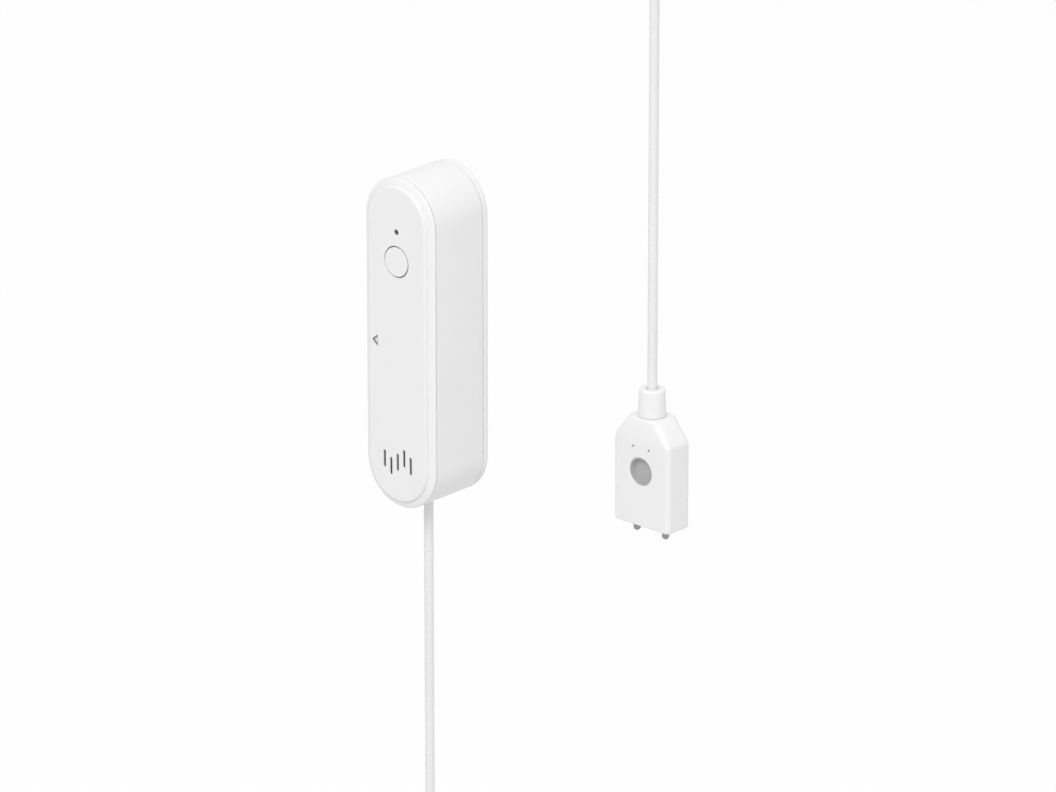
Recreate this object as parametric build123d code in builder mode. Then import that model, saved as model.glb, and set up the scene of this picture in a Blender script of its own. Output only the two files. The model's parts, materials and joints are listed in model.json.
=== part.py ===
"""Water leak detector: a pill-shaped wall unit and the wired probe that hangs from its lead.

Millimetres. The origin is the middle of the wall unit's back, +Z is up, the fronts face -Y.
A depth is a distance out from the wall, so a point at depth d has y = -d.
"""

from build123d import *
from math import pi, radians, tan
import os

os.makedirs("parts", exist_ok=True)

# Wall unit, outside
unit_height = 100.5
unit_depth = 24.3
rim_inset = 2.3
rim_depth = 2.1
rim_round = 0.6
seam_gap = 0.25
shell_wall = 1.6
plate_thickness = 2.1
plate_edge_round = 0.8

# Front cover and what opens in it
cover_wall = 1.8
skirt_depth = 2.8
skirt_wall = 1.2
skirt_clearance = 0.15
button_hole_diameter = 9.4
button_drop = 24.85
light_hole_diameter = 1.7
light_drop = 15.85
slot_width = 0.95
slot_length = 5.4
slot_pitch = 2.57
slot_count = 5
slot_stagger = 1.7
slots_rise = 14.25
arrow_tip_x = -10.0
arrow_length = 2.4
arrow_height = 4.0
arrow_z = -0.4
arrow_engraving = 0.5

# Button and its switch
button_clearance = 0.2
button_travel = 0.4
button_flange_overlap = 0.8
button_flange_thickness = 0.8
button_edge_round = 0.2
button_proud = 0.15
rest_gap = 0.3
stem_diameter = 3.2
stem_clearance = 0.1
switch_side = 6.0
switch_height = 2.0
switch_bore_depth = 1.2

# Circuit board and what stands on it
board_clearance = 0.5
board_thickness = 1.2
board_depth = 16.6
led_width = 1.6
led_height = 0.8
led_thickness = 0.7
pipe_clearance = 0.1
pipe_flange_diameter = 4.0
pipe_flange_thickness = 0.8
pipe_reach = 1.5
mesh_thickness = 0.2
mesh_margin = 1.0
buzzer_diameter = 13.0
buzzer_thickness = 3.2
buzzer_port_diameter = 2.0
buzzer_round = 0.4
radio_width = 14.0
radio_height = 12.0
radio_thickness = 2.2
radio_drop = 45.25
radio_round = 0.5
chip_thickness = 0.9
chip_width = 4.0
chip_height = 3.0
chip_pitch = 5.5
chips_gap = 5.75
antenna_span = 9.0
antenna_width = 1.6
antenna_strip = 0.4
antenna_rise = 2.8
antenna_drop = 5.75

# Bosses and board screws
boss_diameter = 4.4
boss_bore = 1.7
boss_bore_depth = 5.0
boss_x = 8.0
boss_drop = 9.25
boss_rise = 23.25
screw_shank = 1.5
screw_head = 3.2
screw_head_height = 1.1
screw_length = 5.0
screw_slot_share = 0.7
screw_slot_width = 0.4
screw_slot_depth = 0.5
board_hole_clearance = 0.25

# Cells and their tray
cell_diameter = 10.5
cell_can_length = 43.7
cell_nub_diameter = 3.8
cell_nub_length = 0.8
cell_gap = 0.5
cell_round = 0.6
cells_z = 9.0
tray_wall = 0.8
tray_floor = 0.6
tray_depth = 7.0
tray_clearance = 0.3
spring_room = 2.0
contact_thickness = 0.4
contact_width = 7.0
contact_height = 5.6

# Lead, its grommet, clamp and plug
lead_diameter = 2.8
lead_depth = 11.3
grommet_bore_wall = 1.0
grommet_flange = 0.9
grommet_flange_thickness = 0.8
grommet_flange_lift = 0.5
tail_length = 12.0
clamp_width = 15.0
clamp_height = 4.0
clamp_bar = 2.6
clamp_rise = 7.65
clamp_screw_x = 5.2
clamp_squeeze_gap = 0.1
fit_clearance = 0.05
core_diameter = 1.0
core_spacing = 1.3
header_width = 7.0
header_height = 5.0
header_thickness = 2.0
header_rise = 28.25
plug_height = 3.2
plug_inset = 0.4
core_rise = 2.75
core_bend = 2.0

# Wall plate: adhesive pad, screw holes and hooks
pad_thickness = 0.6
pad_margin = 3.2
pad_hole_margin = 1.2
pad_clearance = 0.1
wall_screw_hole = 4.0
wall_screw_head = 6.2
wall_screw_drop = 22.25
hook_width = 6.0
hook_thickness = 1.4
hook_barb = 0.8
hook_barb_height = 1.0
hook_gap = 1.35
hook_rise = 16.25
hook_clearance = 0.2

# Seal between cover and housing
seal_recess = 0.35

# Probe
probe_x = 80.84
probe_ledge_z = -6.0
probe_width = 21.0
probe_thickness = 9.6
probe_height = 32.5
probe_corner = 1.65
probe_ledge_width = 11.6
probe_ledge_corner = 2.9
shoulder_height = 6.8
probe_edge_round = 0.45
probe_wall = 1.4
probe_lid_thickness = 1.2
probe_lid_clearance = 0.1
recess_diameter = 8.3
recess_depth = 2.4
recess_drop = 15.85
cup_setback = 0.3
cup_clearance = 0.02
cup_wall = 0.3
cup_taper = 0.35
cup_round = 0.4
cup_boss_wall = 1.2
tiny_hole_diameter = 0.7
tiny_hole_spacing = 5.9
tiny_hole_drop = 8.75
tiny_hole_depth = 0.9
collar_base_diameter = 8.1
collar_top_diameter = 7.5
collar_height = 8.2
collar_round = 0.8
collar_spigot_diameter = 5.2
pin_diameter = 2.2
pin_spacing = 10.8
pin_reach = 3.8
pin_root = 3.2
pin_collar = 0.6
pin_collar_thickness = 0.8
pin_clearance = 0.02
probe_lid_step = 0.8
probe_board_width = 14.0
probe_board_height = 7.0
probe_board_thickness = 1.0
probe_tail_end = -16.0

# Coil of spare lead: layers of turns side by side, each a lead pitch apart
lead_pitch = 2.85
coil_layers = 4
coil_mean_radius = 15.125
coil_turns = 15.25
coil_z = -174.0
coil_edge_round = 2.4
stub_length = 22.0
tie_width = 4.0
tie_thickness = 0.8
tie_gap = 0.35
tie_angles = {"coil_tie_upper": 315.0, "coil_tie_lower": 135.0}

# Wall clips for the lead
clip_length = 6.0
clip_base_width = 7.0
clip_base_thickness = 1.0
clip_neck = 2.4
clip_wall = 1.1
clip_clearance = 0.12
clip_mouth_share = 0.75
route_depth = 4.8

# The lead's corners between coil and probe, as x, depth, z, and the clip on the run from each
lead_route = [
    (84.0, 2.75, -193.4, None),
    (128.0, 4.1, -188.5, None),
    (170.0, 4.8, -177.0, "clip_low"),
    (206.0, 4.8, -156.0, None),
    (232.0, 4.8, -126.0, "clip_corner"),
    (243.5, 4.8, -90.0, None),
    (246.0, 4.8, -42.0, None),
    (246.8, 4.8, 8.0, "clip_side"),
    (246.8, 4.8, 60.0, None),
    (246.2, 4.8, 112.0, None),
    (245.0, 4.8, 158.0, "clip_high"),
    (239.0, 4.8, 181.0, None),
    (217.0, 4.8, 189.5, None),
    (181.0, 4.8, 189.0, "clip_top"),
    (143.0, 4.8, 183.0, None),
    (112.0, 4.8, 173.0, None),
    (90.5, 4.8, 159.0, "clip_probe"),
    (80.84, 4.8, 136.0, None),
]

# One overrun for every cut that passes right through
overrun = 1.0

# Worked out from the sizes above: the width is what two cells in their tray need
tray_inner_width = 2 * cell_diameter + cell_gap + 2 * fit_clearance
tray_outer_width = tray_inner_width + 2 * tray_wall
unit_width = tray_outer_width + 2 * tray_clearance + 2 * shell_wall
unit_top = unit_height / 2
unit_bottom = -unit_height / 2
button_z = unit_top - button_drop
light_z = unit_top - light_drop
radio_z = unit_top - radio_drop
antenna_z = unit_top - antenna_drop
boss_top_z = unit_top - boss_drop
boss_low_z = unit_bottom + boss_rise
chips_z = radio_z - radio_height / 2 - chips_gap - (chip_pitch + chip_height) / 2
slots_z = unit_bottom + slots_rise
clamp_z = unit_bottom + clamp_rise
header_z = unit_bottom + header_rise
wall_screw_spacing = unit_height - 2 * wall_screw_drop
cell_length = cell_can_length + cell_nub_length
tray_inner_length = cell_length + spring_room + contact_thickness
tray_top = cells_z + tray_inner_length / 2
tray_bottom = cells_z - tray_inner_length / 2
hook_slot = hook_thickness + hook_barb + 2 * hook_clearance
hook_top_z = tray_top + tray_wall + hook_gap + hook_slot / 2
hook_low_z = unit_bottom + hook_rise
seam_depth = unit_depth - rim_depth
housing_back = plate_thickness + seam_gap
housing_front = seam_depth - seam_gap
housing_floor = housing_back + shell_wall
cover_inside = unit_depth - cover_wall
inner_width = unit_width - 2 * shell_wall
inner_height = unit_height - 2 * shell_wall
skirt_width = inner_width - 2 * skirt_clearance
skirt_height = inner_height - 2 * skirt_clearance
skirt_back = seam_depth - skirt_depth
board_front = board_depth + board_thickness
slots_span = (slot_count - 1) * slot_pitch
lead_radius = lead_diameter / 2
probe_depth = probe_thickness / 2
probe_bottom = probe_ledge_z - probe_height
wall = Plane.XZ


def at_depth(depth):
    """The plane parallel to the wall at that distance out from it."""
    return wall.offset(depth)


def save(part, name):
    """Labels a finished piece and writes its STEP file."""
    part.label = name
    export_step(part, "parts/" + name + ".step")


# Housing: a tub with a pill-shaped outline, open to the front
with BuildPart() as housing:
    with BuildSketch(at_depth(housing_back)):
        SlotOverall(unit_height, unit_width, rotation=90)
    extrude(amount=housing_front - housing_back)
    back_face = housing.faces().sort_by(Axis.Y)[-1]
    fillet(back_face.edges(), radius=seam_gap)
    with BuildSketch(at_depth(housing_floor)):
        SlotOverall(inner_height, inner_width, rotation=90)
    extrude(amount=housing_front - housing_floor, mode=Mode.SUBTRACT)
    # bosses that carry the board
    with BuildSketch(at_depth(housing_floor)):
        with Locations((0, (boss_top_z + boss_low_z) / 2)):
            with GridLocations(2 * boss_x, boss_top_z - boss_low_z, 2, 2):
                Circle(boss_diameter / 2)
    extrude(amount=board_depth - housing_floor)
    with BuildSketch(at_depth(board_depth - boss_bore_depth)):
        with Locations((0, (boss_top_z + boss_low_z) / 2)):
            with GridLocations(2 * boss_x, boss_top_z - boss_low_z, 2, 2):
                Circle(boss_bore / 2)
    extrude(amount=boss_bore_depth, mode=Mode.SUBTRACT)
    # saddle under the lead, with its two screw bores
    with BuildSketch(at_depth(housing_floor)):
        with Locations((0, clamp_z)):
            Rectangle(clamp_width, clamp_height)
    extrude(amount=lead_depth - housing_floor)
    with BuildSketch(at_depth(lead_depth - boss_bore_depth)):
        with Locations((0, clamp_z)):
            with GridLocations(2 * clamp_screw_x, 0, 2, 1):
                Circle(boss_bore / 2)
    extrude(amount=boss_bore_depth, mode=Mode.SUBTRACT)
    with BuildSketch(Plane.XY.offset(clamp_z - clamp_height)):
        with Locations((0, -lead_depth)):
            Circle(lead_radius + fit_clearance)
    extrude(amount=2 * clamp_height, mode=Mode.SUBTRACT)
    # hole for the grommet through the bottom wall
    with BuildSketch(Plane.XY.offset(unit_bottom - overrun)):
        with Locations((0, -lead_depth)):
            Circle(lead_radius + grommet_bore_wall)
    extrude(amount=shell_wall + 2 * overrun, mode=Mode.SUBTRACT)
    # slots for the wall plate's hooks
    with BuildSketch(at_depth(housing_back - overrun)):
        with Locations((0, hook_top_z), (0, hook_low_z)):
            Rectangle(hook_width + 2 * hook_clearance, hook_slot)
    extrude(amount=shell_wall + 2 * overrun, mode=Mode.SUBTRACT)
save(housing.part, "housing")

# Front cover: a shallow lid whose flat rim slopes back to the seam
with BuildPart() as front_cover:
    with BuildSketch(at_depth(seam_depth)):
        SlotOverall(unit_height, unit_width, rotation=90)
    with BuildSketch(at_depth(unit_depth)):
        SlotOverall(unit_height - 2 * rim_inset, unit_width - 2 * rim_inset, rotation=90)
    loft(ruled=True)
    fillet(front_cover.faces().sort_by(Axis.Y)[0].edges(), radius=rim_round)
    with BuildSketch(at_depth(skirt_back)):
        SlotOverall(skirt_height, skirt_width, rotation=90)
    extrude(amount=cover_inside - skirt_back)
    with BuildSketch(at_depth(skirt_back)):
        SlotOverall(
            skirt_height - 2 * skirt_wall, skirt_width - 2 * skirt_wall, rotation=90
        )
    extrude(amount=cover_inside - skirt_back, mode=Mode.SUBTRACT)
    # button and light holes, sound slots
    with BuildSketch(at_depth(cover_inside - overrun)):
        with Locations((0, button_z)):
            Circle(button_hole_diameter / 2)
        with Locations((0, light_z)):
            Circle(light_hole_diameter / 2)
        with Locations(
            (-2 * slot_pitch, slots_z),
            (-slot_pitch, slots_z - slot_stagger),
            (0, slots_z),
            (slot_pitch, slots_z + slot_stagger),
            (2 * slot_pitch, slots_z),
        ):
            SlotOverall(slot_length, slot_width, rotation=90)
    extrude(amount=cover_wall + 2 * overrun, mode=Mode.SUBTRACT)
    # engraved arrow
    with BuildSketch(at_depth(unit_depth - arrow_engraving)):
        with BuildLine():
            Polyline(
                (arrow_tip_x, arrow_z),
                (arrow_tip_x + arrow_length, arrow_z + arrow_height / 2),
                (arrow_tip_x + arrow_length, arrow_z - arrow_height / 2),
                close=True,
            )
        make_face()
    extrude(amount=arrow_engraving + overrun, mode=Mode.SUBTRACT)
save(front_cover.part, "front_cover")

# Seal: a thin flat ring in the front seam, set back a little from the outside
with BuildPart() as cover_seal:
    with BuildSketch(at_depth(housing_front)):
        SlotOverall(unit_height - 2 * seal_recess, unit_width - 2 * seal_recess, rotation=90)
        SlotOverall(inner_height, inner_width, rotation=90, mode=Mode.SUBTRACT)
    extrude(amount=seam_gap)
save(cover_seal.part, "cover_seal")

# Button cap: a disc that stands just proud of the cover, a flange behind it and a short boss
cap_radius = button_hole_diameter / 2 - button_clearance
stem_front = board_front + switch_height + stem_clearance + button_travel
flange_front = cover_inside - rest_gap
with BuildPart() as button_cap:
    with BuildSketch(at_depth(flange_front)):
        with Locations((0, button_z)):
            Circle(cap_radius)
    extrude(amount=unit_depth + button_proud - flange_front)
    fillet(button_cap.faces().sort_by(Axis.Y)[0].edges(), radius=button_edge_round)
    with BuildSketch(at_depth(flange_front - button_flange_thickness)):
        with Locations((0, button_z)):
            Circle(cap_radius + button_flange_overlap)
    extrude(amount=button_flange_thickness)
    with BuildSketch(at_depth(stem_front)):
        with Locations((0, button_z)):
            Circle(stem_diameter / 2)
    extrude(amount=flange_front - button_flange_thickness - stem_front)
save(button_cap.part, "button_cap")

# Switch stem: it travels with the cap, in the switch's bore
with BuildPart() as switch_stem:
    with BuildSketch(
        at_depth(board_front + switch_height - switch_bore_depth + button_travel + stem_clearance)
    ):
        with Locations((0, button_z)):
            Circle(stem_diameter / 2)
    extrude(amount=switch_bore_depth)
save(switch_stem.part, "switch_stem")

# Tact switch on the board
with BuildPart() as tact_switch:
    with BuildSketch(at_depth(board_front)):
        with Locations((0, button_z)):
            Rectangle(switch_side, switch_side)
    extrude(amount=switch_height)
    with BuildSketch(at_depth(board_front + switch_height - switch_bore_depth)):
        with Locations((0, button_z)):
            Circle(stem_diameter / 2 + stem_clearance)
    extrude(amount=switch_bore_depth, mode=Mode.SUBTRACT)
save(tact_switch.part, "tact_switch")

# Status light and the pipe that carries it to the front
with BuildPart() as status_led:
    with BuildSketch(at_depth(board_front)):
        with Locations((0, light_z)):
            Rectangle(led_width, led_height)
    extrude(amount=led_thickness)
save(status_led.part, "status_led")

with BuildPart() as light_pipe:
    with BuildSketch(at_depth(board_front + led_thickness + rest_gap)):
        with Locations((0, light_z)):
            Circle(light_hole_diameter / 2 - pipe_clearance)
    extrude(amount=cover_inside + pipe_reach - board_front - led_thickness - rest_gap)
    with BuildSketch(at_depth(cover_inside - pipe_flange_thickness)):
        with Locations((0, light_z)):
            Circle(pipe_flange_diameter / 2)
    extrude(amount=pipe_flange_thickness)
save(light_pipe.part, "light_pipe")

# Sound mesh on the inside of the slots, and the buzzer behind it
with BuildPart() as sound_mesh:
    with BuildSketch(at_depth(cover_inside - mesh_thickness)):
        with Locations((0, slots_z)):
            RectangleRounded(
                slots_span + slot_width + 2 * mesh_margin,
                slot_length + 2 * slot_stagger + 2 * mesh_margin,
                mesh_margin,
            )
    extrude(amount=mesh_thickness)
save(sound_mesh.part, "sound_mesh")

with BuildPart() as buzzer:
    with BuildSketch(at_depth(board_front)):
        with Locations((0, slots_z)):
            Circle(buzzer_diameter / 2)
    extrude(amount=buzzer_thickness)
    fillet(buzzer.faces().sort_by(Axis.Y)[0].edges(), radius=buzzer_round)
    with BuildSketch(at_depth(board_front + buzzer_thickness / 2)):
        with Locations((0, slots_z)):
            Circle(buzzer_port_diameter / 2)
    extrude(amount=buzzer_thickness, mode=Mode.SUBTRACT)
save(buzzer.part, "buzzer")

# Circuit board, drilled for its screws
with BuildPart() as circuit_board:
    with BuildSketch(at_depth(board_depth)):
        SlotOverall(
            inner_height - 2 * board_clearance,
            inner_width - 2 * board_clearance,
            rotation=90,
        )
        with Locations((0, (boss_top_z + boss_low_z) / 2)):
            with GridLocations(2 * boss_x, boss_top_z - boss_low_z, 2, 2):
                Circle(screw_shank / 2 + board_hole_clearance, mode=Mode.SUBTRACT)
    extrude(amount=board_thickness)
save(circuit_board.part, "circuit_board")

# Radio module, plain chips and the antenna strip on the board's front
with BuildPart() as radio_module:
    with BuildSketch(at_depth(board_front)):
        with Locations((0, radio_z)):
            Rectangle(radio_width, radio_height)
    extrude(amount=radio_thickness)
    fillet(radio_module.edges().filter_by(Axis.Y), radius=radio_round)
save(radio_module.part, "radio_module")

with BuildPart() as board_chips:
    with BuildSketch(at_depth(board_front)):
        with Locations((0, chips_z)):
            with GridLocations(chip_pitch, chip_pitch, 3, 2):
                Rectangle(chip_width, chip_height)
    extrude(amount=chip_thickness)
save(board_chips.part, "board_chips")

with BuildPart() as antenna:
    with BuildSketch(Plane.XY.offset(antenna_z - antenna_width / 2)):
        with Locations((0, -board_front)):
            Rectangle(antenna_span, antenna_rise, align=(Align.CENTER, Align.MAX))
            Rectangle(
                antenna_span - 2 * antenna_strip,
                antenna_rise - antenna_strip,
                align=(Align.CENTER, Align.MAX),
                mode=Mode.SUBTRACT,
            )
    extrude(amount=antenna_width)
save(antenna.part, "antenna")

# Screws: four hold the board on its bosses
with BuildPart() as board_screws:
    with BuildSketch(at_depth(board_front)):
        with Locations((0, (boss_top_z + boss_low_z) / 2)):
            with GridLocations(2 * boss_x, boss_top_z - boss_low_z, 2, 2):
                Circle(screw_head / 2)
    extrude(amount=screw_head_height)
    with BuildSketch(at_depth(board_front - screw_length)):
        with Locations((0, (boss_top_z + boss_low_z) / 2)):
            with GridLocations(2 * boss_x, boss_top_z - boss_low_z, 2, 2):
                Circle(screw_shank / 2)
    extrude(amount=screw_length)
    with BuildSketch(at_depth(board_front + screw_head_height - screw_slot_depth)):
        with Locations((0, (boss_top_z + boss_low_z) / 2)):
            with GridLocations(2 * boss_x, boss_top_z - boss_low_z, 2, 2):
                Rectangle(screw_head * screw_slot_share, screw_slot_width)
                Rectangle(screw_slot_width, screw_head * screw_slot_share)
    extrude(amount=screw_slot_depth, mode=Mode.SUBTRACT)
save(board_screws.part, "board_screws")

# Tray for two cells, seated on the housing's floor
cell_radius = cell_diameter / 2
cell_x = cell_radius + cell_gap / 2
cell_depth = housing_floor + tray_floor + cell_radius
with BuildPart() as battery_tray:
    with BuildSketch(at_depth(housing_floor)):
        with Locations((0, cells_z)):
            Rectangle(tray_outer_width, tray_inner_length + 2 * tray_wall)
    extrude(amount=tray_depth)
    with BuildSketch(at_depth(housing_floor + tray_floor)):
        with Locations((0, cells_z)):
            Rectangle(tray_inner_width, tray_inner_length)
    extrude(amount=tray_depth, mode=Mode.SUBTRACT)
save(battery_tray.part, "battery_tray")

# Cells side by side, nubs at opposite ends, with a flat contact and a sprung one for each
for cell_name, side, nub_up in (("left_cell", -1, True), ("right_cell", 1, False)):
    can_bottom = tray_bottom + (spring_room if nub_up else contact_thickness + cell_nub_length)
    nub_bottom = can_bottom + cell_can_length if nub_up else tray_bottom + contact_thickness
    with BuildPart() as cell:
        with BuildSketch(Plane.XY.offset(can_bottom)):
            with Locations((side * cell_x, -cell_depth)):
                Circle(cell_radius)
        extrude(amount=cell_can_length)
        fillet(cell.edges().filter_by(GeomType.CIRCLE), radius=cell_round)
        with BuildSketch(Plane.XY.offset(nub_bottom)):
            with Locations((side * cell_x, -cell_depth)):
                Circle(cell_nub_diameter / 2)
        extrude(amount=cell_nub_length)
    save(cell.part, cell_name)

with BuildPart() as plate_contacts:
    with BuildSketch(Plane.XY.offset(tray_top - contact_thickness)):
        with Locations((-cell_x, -cell_depth)):
            Rectangle(contact_width, contact_height)
    extrude(amount=contact_thickness)
    with BuildSketch(Plane.XY.offset(tray_bottom)):
        with Locations((cell_x, -cell_depth)):
            Rectangle(contact_width, contact_height)
    extrude(amount=contact_thickness)
save(plate_contacts.part, "plate_contacts")

spring_half = contact_width / 2
with BuildPart() as spring_contacts:
    with BuildSketch(at_depth(cell_depth)):
        for x, foot, rise in ((-cell_x, tray_bottom, 1), (cell_x, tray_top, -1)):
            with BuildLine():
                ThreePointArc(
                    (x - spring_half, foot),
                    (x, foot + rise * spring_room),
                    (x + spring_half, foot),
                )
                Line((x + spring_half, foot), (x - spring_half, foot))
            make_face()
            with BuildLine():
                ThreePointArc(
                    (x - spring_half + 2 * contact_thickness, foot),
                    (x, foot + rise * (spring_room - contact_thickness)),
                    (x + spring_half - 2 * contact_thickness, foot),
                )
                Line(
                    (x + spring_half - 2 * contact_thickness, foot),
                    (x - spring_half + 2 * contact_thickness, foot),
                )
            make_face(mode=Mode.SUBTRACT)
    extrude(amount=contact_height / 2, both=True)
save(spring_contacts.part, "spring_contacts")

# Wall plate: pill-shaped, pocketed for its pad, with two countersunk holes and two hooks
pad_width = unit_width - 2 * pad_margin
pad_height = unit_height - 2 * pad_margin
barb_depth = housing_floor + hook_clearance
tongue_offset = hook_barb / 2
with BuildPart() as back_plate:
    with BuildSketch(at_depth(0)):
        SlotOverall(unit_height, unit_width, rotation=90)
    extrude(amount=plate_thickness)
    fillet(back_plate.faces().sort_by(Axis.Y)[-1].edges(), radius=plate_edge_round)
    fillet(back_plate.faces().sort_by(Axis.Y)[0].edges(), radius=seam_gap)
    with BuildSketch(at_depth(0)):
        SlotOverall(pad_height, pad_width, rotation=90)
    extrude(amount=pad_thickness, mode=Mode.SUBTRACT)
    with Locations(at_depth(plate_thickness)):
        with GridLocations(0, wall_screw_spacing, 1, 2):
            CounterSinkHole(wall_screw_hole / 2, wall_screw_head / 2, counter_sink_angle=90)
    with BuildSketch(at_depth(plate_thickness)):
        with Locations((0, hook_top_z + tongue_offset), (0, hook_low_z + tongue_offset)):
            Rectangle(hook_width, hook_thickness)
    extrude(amount=barb_depth - plate_thickness)
    with BuildSketch(at_depth(barb_depth)):
        with Locations((0, hook_top_z + 2 * tongue_offset), (0, hook_low_z + 2 * tongue_offset)):
            Rectangle(hook_width, hook_thickness + hook_barb)
    extrude(amount=hook_barb_height)
save(back_plate.part, "back_plate")

with BuildPart() as adhesive_pad:
    with BuildSketch(at_depth(0)):
        SlotOverall(pad_height - 2 * pad_clearance, pad_width - 2 * pad_clearance, rotation=90)
        with GridLocations(0, wall_screw_spacing, 1, 2):
            Circle(wall_screw_hole / 2 + pad_hole_margin, mode=Mode.SUBTRACT)
    extrude(amount=pad_thickness)
save(adhesive_pad.part, "adhesive_pad")

# Lead inside the unit: grommet, jacket tail, clamp and its screws
wall_inside_z = unit_bottom + shell_wall
with BuildPart() as cable_grommet:
    with BuildSketch(Plane.XY.offset(unit_bottom)):
        with Locations((0, -lead_depth)):
            Circle(lead_radius + grommet_bore_wall - fit_clearance)
    extrude(amount=shell_wall + grommet_flange_lift + grommet_flange_thickness)
    with BuildSketch(Plane.XY.offset(wall_inside_z + grommet_flange_lift)):
        with Locations((0, -lead_depth)):
            Circle(lead_radius + grommet_bore_wall + grommet_flange)
    extrude(amount=grommet_flange_thickness)
    with BuildSketch(Plane.XY.offset(unit_bottom)):
        with Locations((0, -lead_depth)):
            Circle(lead_radius + fit_clearance)
    extrude(amount=tail_length, mode=Mode.SUBTRACT)
save(cable_grommet.part, "cable_grommet")

with BuildPart() as lead_tail:
    with BuildSketch(Plane.XY.offset(unit_bottom)):
        with Locations((0, -lead_depth)):
            Circle(lead_radius)
    extrude(amount=tail_length)
save(lead_tail.part, "lead_tail")

clamp_back = lead_depth + clamp_squeeze_gap
with BuildPart() as cable_clamp:
    with BuildSketch(at_depth(clamp_back)):
        with Locations((0, clamp_z)):
            Rectangle(clamp_width, clamp_height)
            with GridLocations(2 * clamp_screw_x, 0, 2, 1):
                Circle(screw_shank / 2 + board_hole_clearance, mode=Mode.SUBTRACT)
    extrude(amount=clamp_bar)
    with BuildSketch(Plane.XY.offset(clamp_z - clamp_height)):
        with Locations((0, -lead_depth)):
            Circle(lead_radius + fit_clearance)
    extrude(amount=2 * clamp_height, mode=Mode.SUBTRACT)
save(cable_clamp.part, "cable_clamp")

with BuildPart() as clamp_screws:
    with BuildSketch(at_depth(clamp_back + clamp_bar)):
        with Locations((0, clamp_z)):
            with GridLocations(2 * clamp_screw_x, 0, 2, 1):
                Circle(screw_head / 2)
    extrude(amount=screw_head_height)
    with BuildSketch(at_depth(clamp_back + clamp_bar - screw_length)):
        with Locations((0, clamp_z)):
            with GridLocations(2 * clamp_screw_x, 0, 2, 1):
                Circle(screw_shank / 2)
    extrude(amount=screw_length)
save(clamp_screws.part, "clamp_screws")

# Plug and header on the board's back, and the two cores that reach them
header_bottom = header_z - header_height / 2
header_back = board_depth - header_thickness
plug_bottom = header_bottom - plug_height
plug_depth = board_depth - header_thickness / 2
with BuildPart() as lead_header:
    with BuildSketch(at_depth(header_back)):
        with Locations((0, header_z)):
            Rectangle(header_width, header_height)
    extrude(amount=header_thickness)
save(lead_header.part, "lead_header")

with BuildPart() as lead_plug:
    with BuildSketch(at_depth(header_back + plug_inset / 2)):
        with Locations((0, header_bottom)):
            Rectangle(header_width - 2 * plug_inset, plug_height, align=(Align.CENTER, Align.MAX))
    extrude(amount=header_thickness - plug_inset)
save(lead_plug.part, "lead_plug")

tail_top = unit_bottom + tail_length
with BuildPart() as lead_cores:
    for core_x in (-core_spacing / 2, core_spacing / 2):
        with BuildLine() as core_line:
            FilletPolyline(
                (core_x, -lead_depth, tail_top),
                (core_x, -lead_depth, tail_top + core_rise),
                (core_x, -plug_depth, plug_bottom - core_rise),
                (core_x, -plug_depth, plug_bottom),
                radius=core_bend,
            )
        with BuildSketch(Plane(origin=core_line.line @ 0, z_dir=core_line.line % 0)):
            Circle(core_diameter / 2)
        sweep(path=core_line.line)
save(lead_cores.part, "lead_cores")


def probe_plane(z):
    """The level plane at height z, centred on the probe's axis."""
    return Plane(origin=(probe_x, -probe_depth, z))


def probe_front(depth):
    """The plane parallel to the wall at that depth, centred on the probe's axis."""
    return Plane(origin=(probe_x, -depth, 0), x_dir=(1, 0, 0), z_dir=(0, -1, 0))


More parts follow.
